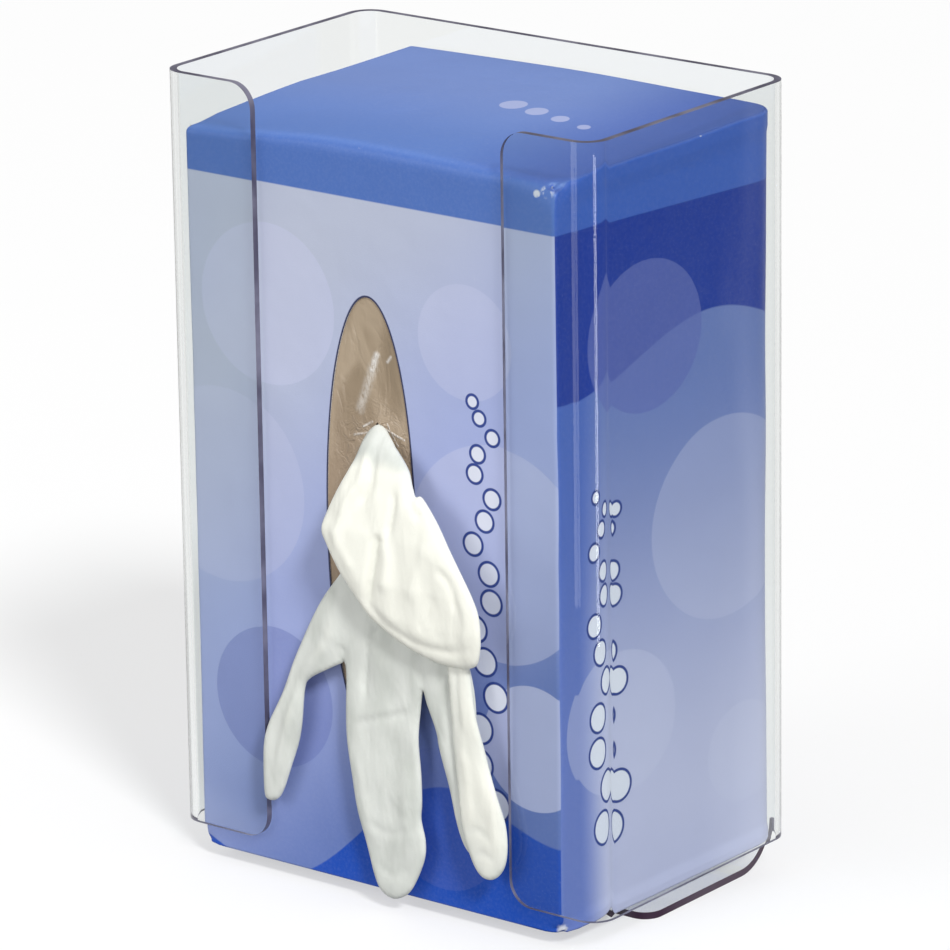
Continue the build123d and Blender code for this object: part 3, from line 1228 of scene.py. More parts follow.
@dataclass
class GloveCarton:
    """A folded card carton, racked in the pocket, crowned on top and sagging on the tab."""

    front_y: float
    back_y: float
    left: float = -78.5
    width: float = 149.0
    rack: float = 13.5
    card: float = 0.6
    top_front: float = 253.2
    top_back: float = 259.0
    foot_front: float = 4.3
    foot_back: float = 11.9
    crown: float = 2.4
    fold: float = 1.4
    crushed: float = 10.5
    top_fold: float = 3.6
    soft_reach: float = 14.0
    soft_fade: float = 9.0
    end_fold: float = 0.9
    flap_inset: float = 0.9
    flap_step: float = 0.5
    lid_share: float = 0.03
    floor_share: float = 0.02
    lid_dip: float = 2.4
    lid_uneven: float = 0.35
    wall_uneven: float = 0.45
    wall_depth: float = 0.3
    knocks: tuple[Knock, ...] = (Knock(1, 1, 9.0, 1.5), Knock(1, 0, 7.0, 1.2), Knock(0, 0, 6.0, 1.0))
    oval: tuple[float, float, float, float] = (-5.5, 129.2, 17.8, 75.3)
    rest: Point = (-4.0, -2.15)
    rest_width: float = 90.0
    rest_depth: float = 34.0
    rest_height: float = 2.45
    pitch: float = 3.2
    crease: float = 50.0
    near_fold: tuple[float, ...] = (0, 0.3, 0.7, 0.85, 0.95, 1.3, 1.8, 2.5, 3.6, 5.2, 7.5, 10.5)

    def _lines(self, length: float) -> np.ndarray:
        """Spaces grid lines, close together at both ends where the folds are.

        Args:
            length: The side's length.

        Returns:
            The places of the lines.
        """
        near = np.array(self.near_fold)
        count = max(2, round((length - 2 * near[-1]) / self.pitch))
        middle = np.linspace(near[-1], length - near[-1], count)
        return np.unique(np.round(np.concatenate([near, middle, length - near]), 3))

    def _skin(self, width: float, depth: float, height: float) -> tuple[np.ndarray, list[list[int]]]:
        """Lays a grid over a plain box, with the oval left out of its front.

        Args:
            width: Size across.
            depth: Size front to back.
            height: Size up.

        Returns:
            Its points and its faces.
        """
        sizes = (width, depth, height)
        lines = [self._lines(size) for size in sizes]
        points: dict[tuple[float, ...], int] = {}
        faces = []
        for fixed in range(3):
            first, second = [axis for axis in range(3) if axis != fixed]
            for level in (0.0, sizes[fixed]):
                if fixed == 1 and level == 0.0:
                    continue
                grid = np.zeros((len(lines[first]), len(lines[second])), dtype=int)
                for i, a in enumerate(lines[first]):
                    for j, b in enumerate(lines[second]):
                        at = [0.0, 0.0, 0.0]
                        at[fixed], at[first], at[second] = round(level, 3), float(a), float(b)
                        grid[i, j] = points.setdefault(tuple(at), len(points))
                for i in range(grid.shape[0] - 1):
                    for j in range(grid.shape[1] - 1):
                        faces.append([grid[i, j], grid[i + 1, j], grid[i + 1, j + 1], grid[i, j + 1]])
        across, upward = lines[0], lines[2]
        border = ([(x, 0.0) for x in across[:-1]] + [(width, z) for z in upward[:-1]]
                  + [(x, height) for x in across[:0:-1]] + [(0.0, z) for z in upward[:0:-1]])
        centre_x, centre_z, half_width, half_height = self.oval
        turns = np.linspace(0, 2 * math.pi, 120, endpoint=False)
        oval = [(centre_x - self.left + half_width * math.cos(t),
                 centre_z - self.foot_front + half_height * math.sin(t)) for t in turns]
        spots = lattice(across[1:-1], upward[1:-1])
        spots = spots[(distance_to(spots, [*oval, oval[0]]) > 1.2) & ~inside(spots, oval)]
        flat, corners = Blank(border, [oval], spots=spots).cut()
        numbers = [points.setdefault((round(float(x), 3), 0.0, round(float(z), 3)), len(points))
                   for x, z in flat]
        faces += [[numbers[corner] for corner in triangle] for triangle in corners]
        return np.array(list(points)), faces

    def _rounded_plan(self, points: np.ndarray, width: float, depth: float) -> tuple[np.ndarray, ...]:
        """Rounds the four upright folds of the plain box.

        Args:
            points: Points on the box.
            width: Its size across.
            depth: Its size front to back.

        Returns:
            The points moved, each one's distance inside the walls, and the outward direction there.
        """
        middle = np.array([width / 2, depth / 2])
        offset = points[:, :2] - middle
        sign = np.where(offset >= 0, 1.0, -1.0)
        radius = np.where((sign[:, 0] > 0) & (sign[:, 1] > 0), self.crushed, self.fold)
        beyond = np.abs(offset) - (middle - radius[:, None])
        corner = (beyond > 0).all(axis=1)
        size = np.linalg.norm(beyond, axis=1)
        shrink = np.where(corner, beyond.max(axis=1) / np.maximum(size, 1e-9), 1.0)
        moved = np.where(corner[:, None], beyond * shrink[:, None], beyond)
        result = points.copy()
        result[:, :2] = middle + sign * (moved + middle - radius[:, None])
        outward = np.where(corner[:, None], moved / np.maximum(np.linalg.norm(moved, axis=1), 1e-9)[:, None],
                           np.eye(2)[np.argmax(moved, axis=1)])
        inward = np.where(corner, radius - np.linalg.norm(moved, axis=1), radius - moved.max(axis=1))
        return result, inward, outward * sign

    def _rounded_ends(self, points: np.ndarray, inward: np.ndarray, outward: np.ndarray,
                      height: float) -> np.ndarray:
        """Rounds the folds round the top and the bottom, softest between the front and the top.

        Args:
            points: Points whose upright folds are rounded.
            inward: Each one's distance inside the walls.
            outward: The outward direction at each.
            height: The box's height.

        Returns:
            The points moved.
        """
        result = points.copy()
        near_front = np.clip((self.soft_reach - points[:, 1]) / self.soft_fade, 0, 1)
        for top in (True, False):
            depth = height - points[:, 2] if top else points[:, 2]
            radius = np.full(len(points), self.end_fold)
            if top:
                radius = radius + (self.top_fold - self.end_fold) * near_front
            reach = np.stack([radius - inward, radius - depth], axis=1)
            edge = (reach > 0).all(axis=1)
            shrink = np.where(edge, reach.max(axis=1) / np.maximum(np.linalg.norm(reach, axis=1), 1e-9), 1)
            new_inward = radius - reach[:, 0] * shrink
            new_depth = radius - reach[:, 1] * shrink
            shift = np.where(edge, new_inward - inward, 0)
            result[:, :2] -= outward * shift[:, None]
            result[:, 2] += np.where(edge, (depth - new_depth) * (1 if top else -1), 0)
        return result

    def _settled(self, points: np.ndarray, inward: np.ndarray, size: np.ndarray) -> np.ndarray:
        """Racks, crowns, dents and sags the square carton, and steps its glued flaps.

        Args:
            points: Rounded points, with the carton still square.
            inward: Each one's distance inside the walls.
            size: The square carton's size across, front to back and up.

        Returns:
            The points where they end up.
        """
        share = points / size
        u, v, w = share.T
        foot = self.foot_front + (self.foot_back - self.foot_front) * v
        head = self.top_front + (self.top_back - self.top_front) * v
        placed = points.copy()
        placed[:, 0] = self.left + points[:, 0] + self.rack * v
        placed[:, 1] = self.front_y + points[:, 1]
        placed[:, 2] = foot + (head - foot) * w

        lid = np.clip((w - (1 - self.lid_share)) / self.lid_share, 0, 1)
        dip = np.clip(1 - u * 3.0, 0, 1) * np.clip(1 - v * 2.0, 0, 1)
        swell_across = np.sin(np.pi * np.clip(u, 0, 1))
        swell_back = 0.35 + 0.65 * np.sin(np.pi * np.clip(v, 0, 1))
        uneven = self.lid_uneven * speckle(points[:, :2], 55, 3)
        placed[:, 2] += lid * (self.crown * swell_across * swell_back - self.lid_dip * dip + uneven)

        in_flap = inward < self.flap_inset
        on_lid = (points[:, 2] > size[2] - 0.01) & (points[:, 1] > 2 * self.top_fold)
        on_floor = (points[:, 2] < 0.01) & (points[:, 1] > 2)
        placed[:, 2] -= np.where(on_lid & in_flap, self.flap_step, 0)
        placed[:, 2] += np.where(on_floor & in_flap, self.flap_step, 0)
        placed[:, 2] -= np.where(w < self.floor_share, self._sag(placed, size), 0)
        return self._knocked(self._dented(placed, points, inward, share), points, size, share)

    def _sag(self, placed: np.ndarray, size: np.ndarray) -> np.ndarray:
        """Gives how far the floor sags to where it rests on the tab.

        Args:
            placed: The points, racked.
            size: The square carton's size.

        Returns:
            The sag at each point, if it is on the floor.
        """
        rest = np.array([self.rest_width, self.rest_depth])
        beyond = np.maximum(np.abs(placed[:, :2] - np.array(self.rest)) - rest / 2, 0)
        out = beyond / (size[:2] / 2 - 5 - rest / 2)
        hold = np.clip(1 - np.hypot(out[:, 0], out[:, 1]), 0, 1)
        hold = hold * hold * (3 - 2 * hold)
        return np.maximum(placed[:, 2] - self.rest_height, 0) * hold

    def _dented(self, placed: np.ndarray, points: np.ndarray, inward: np.ndarray,
                share: np.ndarray) -> np.ndarray:
        """Bows the front and the sides in a little, each unevenly.

        Args:
            placed: The points so far.
            points: The same points in the square carton.
            inward: Each one's distance inside the walls.
            share: Each one's place as a share of the carton's size.

        Returns:
            The points moved.
        """
        u, v, w = share.T
        middle = np.sin(np.pi * np.clip(w, 0, 1))
        walls = (inward < self.wall_depth) & (w > self.floor_share) & (w < 1 - self.lid_share)
        ripple = self.wall_uneven * speckle(points, 60, 11) * middle
        in_front = np.clip(1 - v / 0.04, 0, 1)
        behind_front = np.clip((v - 0.03) / 0.08, 0, 1)
        at_right = np.clip((u - 0.93) / 0.07, 0, 1) * behind_front
        at_left = np.clip(1 - u / 0.07, 0, 1) * behind_front
        placed[:, 1] += np.where(walls, in_front * (0.25 + np.abs(ripple)) * middle, 0)
        placed[:, 0] -= np.where(walls, at_right * (0.5 + ripple + 0.8 * middle), 0)
        placed[:, 0] += np.where(walls, at_left * (0.4 + ripple), 0)
        return placed

    def _knocked(self, placed: np.ndarray, points: np.ndarray, size: np.ndarray,
                 share: np.ndarray) -> np.ndarray:
        """Crushes the front corners that have had a knock.

        Args:
            placed: The points so far.
            points: The same points in the square carton.
            size: The square carton's size.
            share: Each point's place as a share of the size.

        Returns:
            The points moved.
        """
        for knock in self.knocks:
            corner = np.array([knock.side, 0, knock.end])
            away = np.linalg.norm((share - corner) * size, axis=1)
            depth = knock.depth * (1 + 0.5 * speckle(points, 3.5, 21))
            push = np.clip(1 - away / knock.reach, 0, 1) ** 1.5 * depth
            placed += push[:, None] * np.where(corner > 0, -1, 1)
        return placed

    def build(self, printed: bpy.types.Material, board: bpy.types.Material) -> bpy.types.Object:
        """Folds, fills and dresses the carton.

        Args:
            printed: The outside's material.
            board: The inside's and the cut edges' material.

        Returns:
            The carton.
        """
        depth = self.back_y - self.front_y
        height = self.top_front - self.foot_front
        points, faces = self._skin(self.width, depth, height)
        rounded, inward, outward = self._rounded_plan(points, self.width, depth)
        rounded = self._rounded_ends(rounded, inward, outward, height)
        settled = self._settled(rounded, inward, np.array([self.width, depth, height]))
        piece = make_object("folded_glove_carton", settled, faces, [printed, board], crease=self.crease)
        thicken = piece.modifiers.new("card", "SOLIDIFY")
        thicken.thickness = self.card * MM
        thicken.offset = -1.0
        thicken.material_offset = 1
        thicken.material_offset_rim = 1
        apply_modifiers(piece)
        piece.data.set_sharp_from_angle(angle=math.radians(self.crease))
        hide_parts("glove_carton")
        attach(piece, "root")
        return piece


# ---------------------------------------------------------------------------------------------
# The film
# ---------------------------------------------------------------------------------------------


@dataclass
class SlitFilm:
    """The film glued behind the oval, pulled out and crinkled where the glove comes through its slit."""

    centre: Point
    front_y: float
    half_width: float = 29.8
    half_height: float = 87.3
    corner: float = 6.0
    slit: Point = (-2.2, 152.4)
    slit_half_width: float = 2.2
    slit_half_height: float = 11.2
    thickness: float = 0.12
    pitch: float = 1.5
    free_half_width: float = 16.5
    free_half_height: float = 74.0
    pulled_out: float = 0.9
    pull_reach: float = 9.0
    rays: int = 9
    ray_height: float = 0.22
    crinkle: float = 0.06
    free_fade: float = 0.18
    slack: float = 0.24
    sunk: float = 0.4
    glue_gap: float = 0.03

    def _relief(self, flat: np.ndarray) -> np.ndarray:
        """Gives how far the film stands out of its plane.

        Args:
            flat: Points across and up.

        Returns:
            The stand-out at each, towards the front.
        """
        offset = flat - np.array(self.slit)
        reach_up = 1.3 * self.slit_half_height
        near = np.exp(-np.hypot(offset[:, 0] / self.pull_reach, offset[:, 1] / reach_up) ** 2)
        angle = np.arctan2(offset[:, 1], offset[:, 0])
        rays = np.sin(angle * self.rays + 1.2 * speckle(flat, 12, 31)) * self.ray_height
        rays = rays + self.crinkle * speckle(flat, 4.5, 32)
        aside = (flat - np.array(self.centre)) / np.array([self.free_half_width, self.free_half_height])
        free = np.clip((1 - np.hypot(aside[:, 0], aside[:, 1])) / self.free_fade, 0, 1)
        slack = self.slack * speckle(flat * np.array([1.0, 0.3]), 22, 33) - self.sunk
        return free * (slack + near * (self.pulled_out + rays)) - self.glue_gap

    def build(self, film: bpy.types.Material) -> bpy.types.Object:
        """Cuts and dresses the film.

        Args:
            film: Its material.

        Returns:
            The film.
        """
        half = np.array([self.half_width, self.half_height])
        low, high = np.array(self.centre) - half, np.array(self.centre) + half
        outline = rounded_box(tuple(low), tuple(high), self.corner, 6)
        x, z = self.slit
        lens = [(x + self.slit_half_width * math.cos(t) * abs(math.cos(t)) ** 0.3,
                 z + self.slit_half_height * math.sin(t))
                for t in np.linspace(0, 2 * math.pi, 28, endpoint=False)]
        columns = np.arange(low[0] + 1, high[0] - 0.5, self.pitch)
        rows = np.arange(low[1] + 1, high[1] - 0.5, self.pitch * 1.3)
        spots = lattice(columns, rows)
        apart = distance_to(spots, [*lens, lens[0]]) > 0.6
        spots = spots[apart & ~inside(spots, lens) & inside(spots, outline)]

        def sides(flat: np.ndarray) -> tuple[np.ndarray, np.ndarray]:
            """Gives the film's two faces.

            Args:
                flat: Points across and up.

            Returns:
                The front and the back surface points.
            """
            y = self.front_y - self._relief(flat)
            front = np.stack([flat[:, 0], y, flat[:, 1]], axis=1)
            return front, front + np.array([0, self.thickness, 0])

        piece = Blank(outline, [lens], spots=spots).raise_up("crinkled_slit_film", sides, [film], crease=60)
        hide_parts("slit_film")
        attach(piece, "root")
        return piece


# ---------------------------------------------------------------------------------------------
# The gloves
# ---------------------------------------------------------------------------------------------


@dataclass(frozen=True)
class Crease:
    """A soft ridge, or a hollow if its rise is negative, along a path on a layer of glove."""

    path: tuple[Point, ...]
    rise: float
    spread: float
    lap: float = 0.0
    end_fade: float = 0.2
    end_share: float = 0.15
    steps: int = 30

    def relief(self, flat: np.ndarray) -> np.ndarray:
        """Gives the crease's height.

        Args:
            flat: Points across and up.

        Returns:
            The height at each; lap adds a step from the path's left side down to its right side.
        """
        dense = np.array(open_curve(self.path, self.steps))
        gaps = np.linalg.norm(flat[:, None, :] - dense[None, :, :], axis=2)
        nearest = gaps.argmin(axis=1)
        distance = gaps[np.arange(len(flat)), nearest]
        along = nearest / (len(dense) - 1)
        fade = np.clip(np.minimum(along, 1 - along) / self.end_fade + self.end_share, 0, 1)
        after = dense[np.minimum(nearest + 1, len(dense) - 1)]
        before = dense[np.maximum(nearest - 1, 0)]
        run = after - before
        offset = flat - dense[nearest]
        side = np.sign(run[:, 0] * offset[:, 1] - run[:, 1] * offset[:, 0])
        body = np.exp(-((distance / self.spread) ** 2))
        reach = distance / self.spread
        step = side * (1 - np.exp(-reach / 0.35)) * np.exp(-reach / 2.2)
        return fade * (self.rise * body + self.lap * step)


@dataclass(frozen=True)
class GloveLayer:
    """One flattened stretch of the hanging glove, a thin double skin.

    Its middle's stand-off from the carton is given at a few heights. It is full inside and thins
    to a rounded rim.
    """

    name: str
    outline: tuple[Point, ...]
    heights: tuple[float, ...]
    stand_off: tuple[float, ...]
    full: float
    rounding: float
    creases: tuple[Crease, ...] = ()
    uneven: float = 0.35
    tilt: float = 0.0
    seed: int = 0
    pitch: float = 1.1
    rim: float = 0.55
    rim_clear: float = 0.45
    rim_relief: float = 0.25
    thinnest: float = 0.6
    fold_length: float = 15.0
    crepe_length: float = 5.0
    crepe: float = 0.10
    sway: float = 0.5
    sway_length: float = 30.0

    def mesh(self, front_y: float, latex: bpy.types.Material, crease: float) -> bpy.types.Object:
        """Fills out and wrinkles the layer.

        Args:
            front_y: The carton's front.
            latex: Its material.
            crease: Edges sharper than this many degrees stay sharp.

        Returns:
            The layer's object.
        """
        outline = smooth_loop(self.outline, 7)
        ring = np.array(outline)
        low, high = ring.min(axis=0), ring.max(axis=0)
        columns = np.arange(low[0], high[0], self.pitch)
        rows = np.arange(low[1], high[1], self.pitch)
        spots = lattice(columns, rows)
        spots[:, 0] += 0.5 * self.pitch * (np.round((spots[:, 1] - low[1]) / self.pitch) % 2)
        spots = spots[inside(spots, outline)]
        closed = [*outline, outline[0]]
        spots = spots[distance_to(spots, closed) > self.rim_clear * self.pitch]

        def sides(flat: np.ndarray) -> tuple[np.ndarray, np.ndarray]:
            """Gives the layer's two faces.

            Args:
                flat: Points across and up.

            Returns:
                The front and the back surface points.
            """
            within = np.minimum(distance_to(flat, closed) / self.rounding, 1)
            thickness = self.rim + (self.full - self.rim) * np.sqrt(1 - (1 - within) ** 2)
            middle = np.interp(flat[:, 1], self.heights, self.stand_off)
            middle = middle + self.tilt * (flat[:, 0] - ring[:, 0].mean())
            folds = speckle(flat * np.array([1, 0.4]), self.fold_length, self.seed)
            crepe = speckle(flat * np.array([1, 0.5]), self.crepe_length, self.seed + 1)
            relief = self.uneven * (folds + self.crepe * crepe)
            relief = relief + sum(line.relief(flat) for line in self.creases)
            sway = self.sway * speckle(flat, self.sway_length, self.seed + 2)
            share = self.rim_relief + (1 - self.rim_relief) * within
            ahead = middle + sway + thickness / 2 + relief * share
            behind = middle + sway - thickness / 2 + self.rim_relief * relief
            ahead = np.maximum(ahead, behind + self.rim * self.thinnest)
            front = np.stack([flat[:, 0], front_y - ahead, flat[:, 1]], axis=1)
            back = np.stack([flat[:, 0], front_y - behind, flat[:, 1]], axis=1)
            return front, back

        return Blank(outline, spots=spots).raise_up(self.name, sides, [latex], crease)


@dataclass
class HangingGlove:
    """The glove pulled half out: palm and fingers hanging flat, and the cuff folded down over them."""

    front_y: float
    crease: float = 75.0

    def layers(self) -> list[GloveLayer]:
        """Shapes the three layers.

        Returns:
            The palm with its fingers, the finger that laps over the last one, and the cuff.
        """
        palm = GloveLayer(
            "glove_palm",
            outline=(
                (-5.4, 160.0), (-8.2, 146.0), (-9.0, 130.0), (-11.4, 116.0), (-22.6, 101.3), (-34.5, 79.2),
                (-40.3, 64.9), (-46.2, 53.6), (-48.2, 45.3), (-48.6, 31.5), (-47.0, 27.8), (-42.0, 30.0),
                (-36.3, 43.2), (-32.1, 56.6), (-30.5, 69.3), (-28.2, 73.4), (-21.5, 77.6), (-15.6, 80.9),
                (-13.6, 81.6), (-12.9, 74.9), (-13.3, 57.3), (-10.4, 38.6), (-6.7, 23.2), (-2.8, 10.8),
                (0.2, 5.9), (5.0, 4.4), (10.4, 6.8), (14.2, 11.8), (18.1, 20.6), (18.5, 27.2), (16.9, 34.4),
                (17.3, 41.4), (16.4, 60.3), (17.3, 73.1), (18.6, 78.4), (20.2, 74.0), (24.0, 65.6),
                (25.6, 59.1), (32.0, 36.2), (36.4, 27.2), (41.6, 27.6), (42.6, 40.0), (40.6, 60.0),
                (38.6, 86.0), (30.0, 110.0), (14.0, 132.0), (2.0, 150.0), (-1.2, 160.0),
            ),
            heights=(4.0, 30.0, 80.0, 118.0, 138.0, 150.0, 160.0),
            stand_off=(4.3, 4.6, 4.5, 5.0, 4.6, 2.2, -2.5),
            full=2.6, rounding=5.5, seed=41, uneven=0.20,
            creases=(
                Crease(((1.6, 98.1), (-1.9, 93.2), (-4.7, 81.6), (-5.8, 66.0)), -0.5, 1.3, -0.5),
                Crease(((17.2, 92.0), (18.4, 84.0), (18.6, 79.4)), -0.8, 1.6),
                Crease(((-9.4, 62.5), (2.5, 67.0), (15.5, 71.5)), -0.35, 1.4, 0.3),
                Crease(((-17.0, 92.0), (-26.5, 79.0), (-36.0, 58.0), (-43.0, 36.0)), 0.9, 2.6),
                Crease(((-24.0, 94.0), (-34.0, 73.0), (-41.5, 54.0), (-45.5, 36.0)), -0.6, 1.8),
                Crease(((-13.6, 88.0), (-14.4, 84.0), (-16.5, 81.0)), -0.9, 1.6),
                Crease(((-9.0, 52.0), (-6.0, 36.0), (-2.0, 20.0)), 0.45, 2.2),
                Crease(((12.0, 56.0), (11.0, 38.0), (13.0, 24.0)), 0.4, 2.4),
                Crease(((-6.0, 30.0), (4.0, 27.0), (15.0, 31.0)), -0.28, 1.5),
                Crease(((-3.0, 16.0), (5.0, 13.0), (13.0, 17.0)), -0.25, 1.4),
                Crease(((-10.0, 108.0), (-16.0, 98.0), (-20.0, 88.0)), 0.6, 3.0),
                Crease(((27.0, 76.0), (27.6, 62.0), (32.0, 46.0)), 0.5, 1.7),
            ),
        )
        finger = GloveLayer(
            "glove_lapped_finger",
            outline=(
                (29.2, 101.0), (30.4, 92.0), (31.2, 82.0), (32.0, 67.2), (33.1, 57.6), (34.7, 46.4),
                (35.9, 35.0), (38.1, 27.6), (41.0, 22.6), (44.4, 20.6), (48.4, 21.4), (51.9, 25.6),
                (53.5, 31.7), (53.0, 39.4), (50.3, 48.3), (45.3, 62.5), (41.9, 74.6), (39.6, 88.0),
                (38.0, 101.0),
            ),
            heights=(20.0, 45.0, 75.0, 101.0),
            stand_off=(6.3, 6.9, 7.0, 6.6),
            full=2.5, rounding=5.0, seed=57, uneven=0.18,
            creases=(
                Crease(((34.6, 96.0), (35.4, 80.0), (36.2, 68.0)), -0.6, 1.5, 0.35),
                Crease(((36.5, 64.0), (39.0, 52.0), (39.5, 38.0)), 0.45, 1.8),
                Crease(((46.0, 56.0), (49.5, 44.0), (49.0, 30.0)), 0.4, 2.0),
                Crease(((37.2, 34.0), (42.0, 37.0), (48.0, 34.5)), -0.3, 1.4),
                Crease(((40.0, 27.0), (44.0, 29.5), (49.0, 28.0)), -0.3, 1.2),
            ),
        )
        cuff = GloveLayer(
            "glove_folded_cuff",
            outline=(
                (-1.9, 163.0), (1.6, 162.4), (5.4, 159.8), (15.0, 152.2), (17.9, 147.0), (19.5, 144.6),
                (22.4, 144.6), (30.1, 136.7), (39.7, 123.2), (45.3, 114.1), (46.9, 107.0), (46.5, 99.9),
                (44.2, 93.6), (39.0, 91.3), (30.1, 91.1), (21.3, 93.2), (12.2, 96.8), (3.5, 101.3),
                (-2.0, 107.0), (-8.7, 115.2), (-14.2, 123.8), (-16.4, 128.4), (-14.8, 134.5), (-11.1, 142.6),
                (-6.6, 151.5), (-4.4, 159.8),
            ),
            heights=(91.0, 96.0, 104.0, 115.0, 130.0, 142.0, 150.0, 158.0, 164.0),
            stand_off=(9.4, 10.4, 11.4, 11.6, 10.7, 8.8, 6.8, 3.2, -0.8),
            full=3.6, rounding=7.0, seed=73, uneven=0.28, rim=0.7, tilt=-0.01,
            creases=(
                Crease(((-0.6, 160.0), (-1.2, 148.0), (-6.5, 137.0), (-9.9, 121.3)), 1.2, 1.9, -0.5),
                Crease(((1.4, 157.0), (2.6, 147.0), (-1.0, 139.0)), -0.9, 1.5),
                Crease(((12.8, 146.3), (12.4, 138.0), (11.2, 130.5)), -0.9, 1.4, 0.4),
                Crease(((6.7, 131.2), (5.7, 126.6), (3.5, 113.6), (0.9, 105.2)), -1.3, 1.7, -0.6),
                Crease(((9.5, 130.2), (10.8, 122.0), (9.6, 112.0)), 0.9, 2.2),
                Crease(((27.2, 131.6), (24.0, 122.0), (19.8, 110.9)), 0.8, 2.6),
                Crease(((31.1, 124.7), (36.7, 119.8), (39.6, 110.4)), -0.8, 1.7, 0.3),
                Crease(((41.0, 116.0), (43.0, 108.0), (41.0, 99.0)), 0.6, 1.8),
                Crease(((1.0, 108.6), (10.0, 102.3), (19.6, 98.2), (32.0, 96.6), (41.0, 98.6)),
                       -0.8, 1.8, 0.5),
                Crease(((17.0, 149.0), (19.6, 142.0), (24.6, 139.0)), -0.8, 1.4),
                Crease(((-12.4, 132.0), (-8.0, 124.0), (-2.6, 116.0)), 0.7, 2.2),
                Crease(((-5.0, 152.0), (-8.4, 143.0), (-11.8, 134.5)), 0.6, 1.8),
                Crease(((30.0, 116.0), (27.0, 108.0), (24.0, 102.0)), -0.5, 1.6),
            ),
        )
        return [palm, finger, cuff]

    def build(self, latex: bpy.types.Material) -> bpy.types.Object:
        """Joins the layers into the one glove.

        Args:
            latex: Its material.

        Returns:
            The glove.
        """
        parts = [layer.mesh(self.front_y, latex, self.crease) for layer in self.layers()]
        piece = join(parts, "hanging_latex_glove", self.crease)
        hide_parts("hanging_glove")
        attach(piece, "root")
        return piece


@dataclass
class GloveStack:
    """The gloves packed flat in the carton, as one block of thin uneven layers."""

    low: Spot
    high: Spot
    rack: float
    layer: float = 1.9
    corner: float = 9.0
    foot_gap: float = 5.5
    head_gap: float = 1.5
    inset: float = 0.7
    uneven: float = 0.6
    rise_back: float = 6.0
    hem: tuple[Point, ...] = ((0.0, 1.1), (0.25, 0.35), (0.75, 0.35))

    def build(self, latex: bpy.types.Material) -> bpy.types.Object:
        """Stacks and dresses the block.

        Args:
            latex: Its material.

        Returns:
            The block.
        """
        depth = self.high[1] - self.low[1]
        width = self.high[0] - self.low[0] - self.rack
        leaves = round(depth / self.layer)
        bottom, top = self.low[2] + self.foot_gap, self.high[2] - self.head_gap
        points = []
        columns = 0
        for leaf in range(leaves):
            for part, pull in self.hem:
                share = (leaf + part) / leaves
                inset = pull + self.inset + self.uneven * math.sin(leaf * 2.4) * math.cos(leaf * 1.1)
                left = self.low[0] + self.rack * share
                foot = bottom + self.rise_back * share
                low, high = (left + inset, foot + inset), (left + width - inset, top - inset)
                ring = rounded_box(low, high, self.corner, 8)
                columns = len(ring)
                points += [(x, self.low[1] + share * depth, z) for x, z in ring]
        rows = len(points) // columns
        faces: list[list[int]] = []
        for row in range(rows - 1):
            for column in range(columns):
                after = (column + 1) % columns
                faces.append([row * columns + column, row * columns + after,
                              (row + 1) * columns + after, (row + 1) * columns + column])
        faces.append(list(range(columns)))
        faces.append(list(range((rows - 1) * columns, rows * columns))[::-1])
        piece = make_object("packed_glove_stack", np.array(points), faces, [latex], crease=60)
        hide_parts("glove_stack")
        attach(piece, "root")
        return piece


# ---------------------------------------------------------------------------------------------
# The studio
# ---------------------------------------------------------------------------------------------


@dataclass(frozen=True)
class SoftBox:
    """An area light, which shines away from the side that its azimuth and elevation point to."""

    name: str
    place: Spot
    azimuth: float
    elevation: float
    width: float
    height: float
    power: float


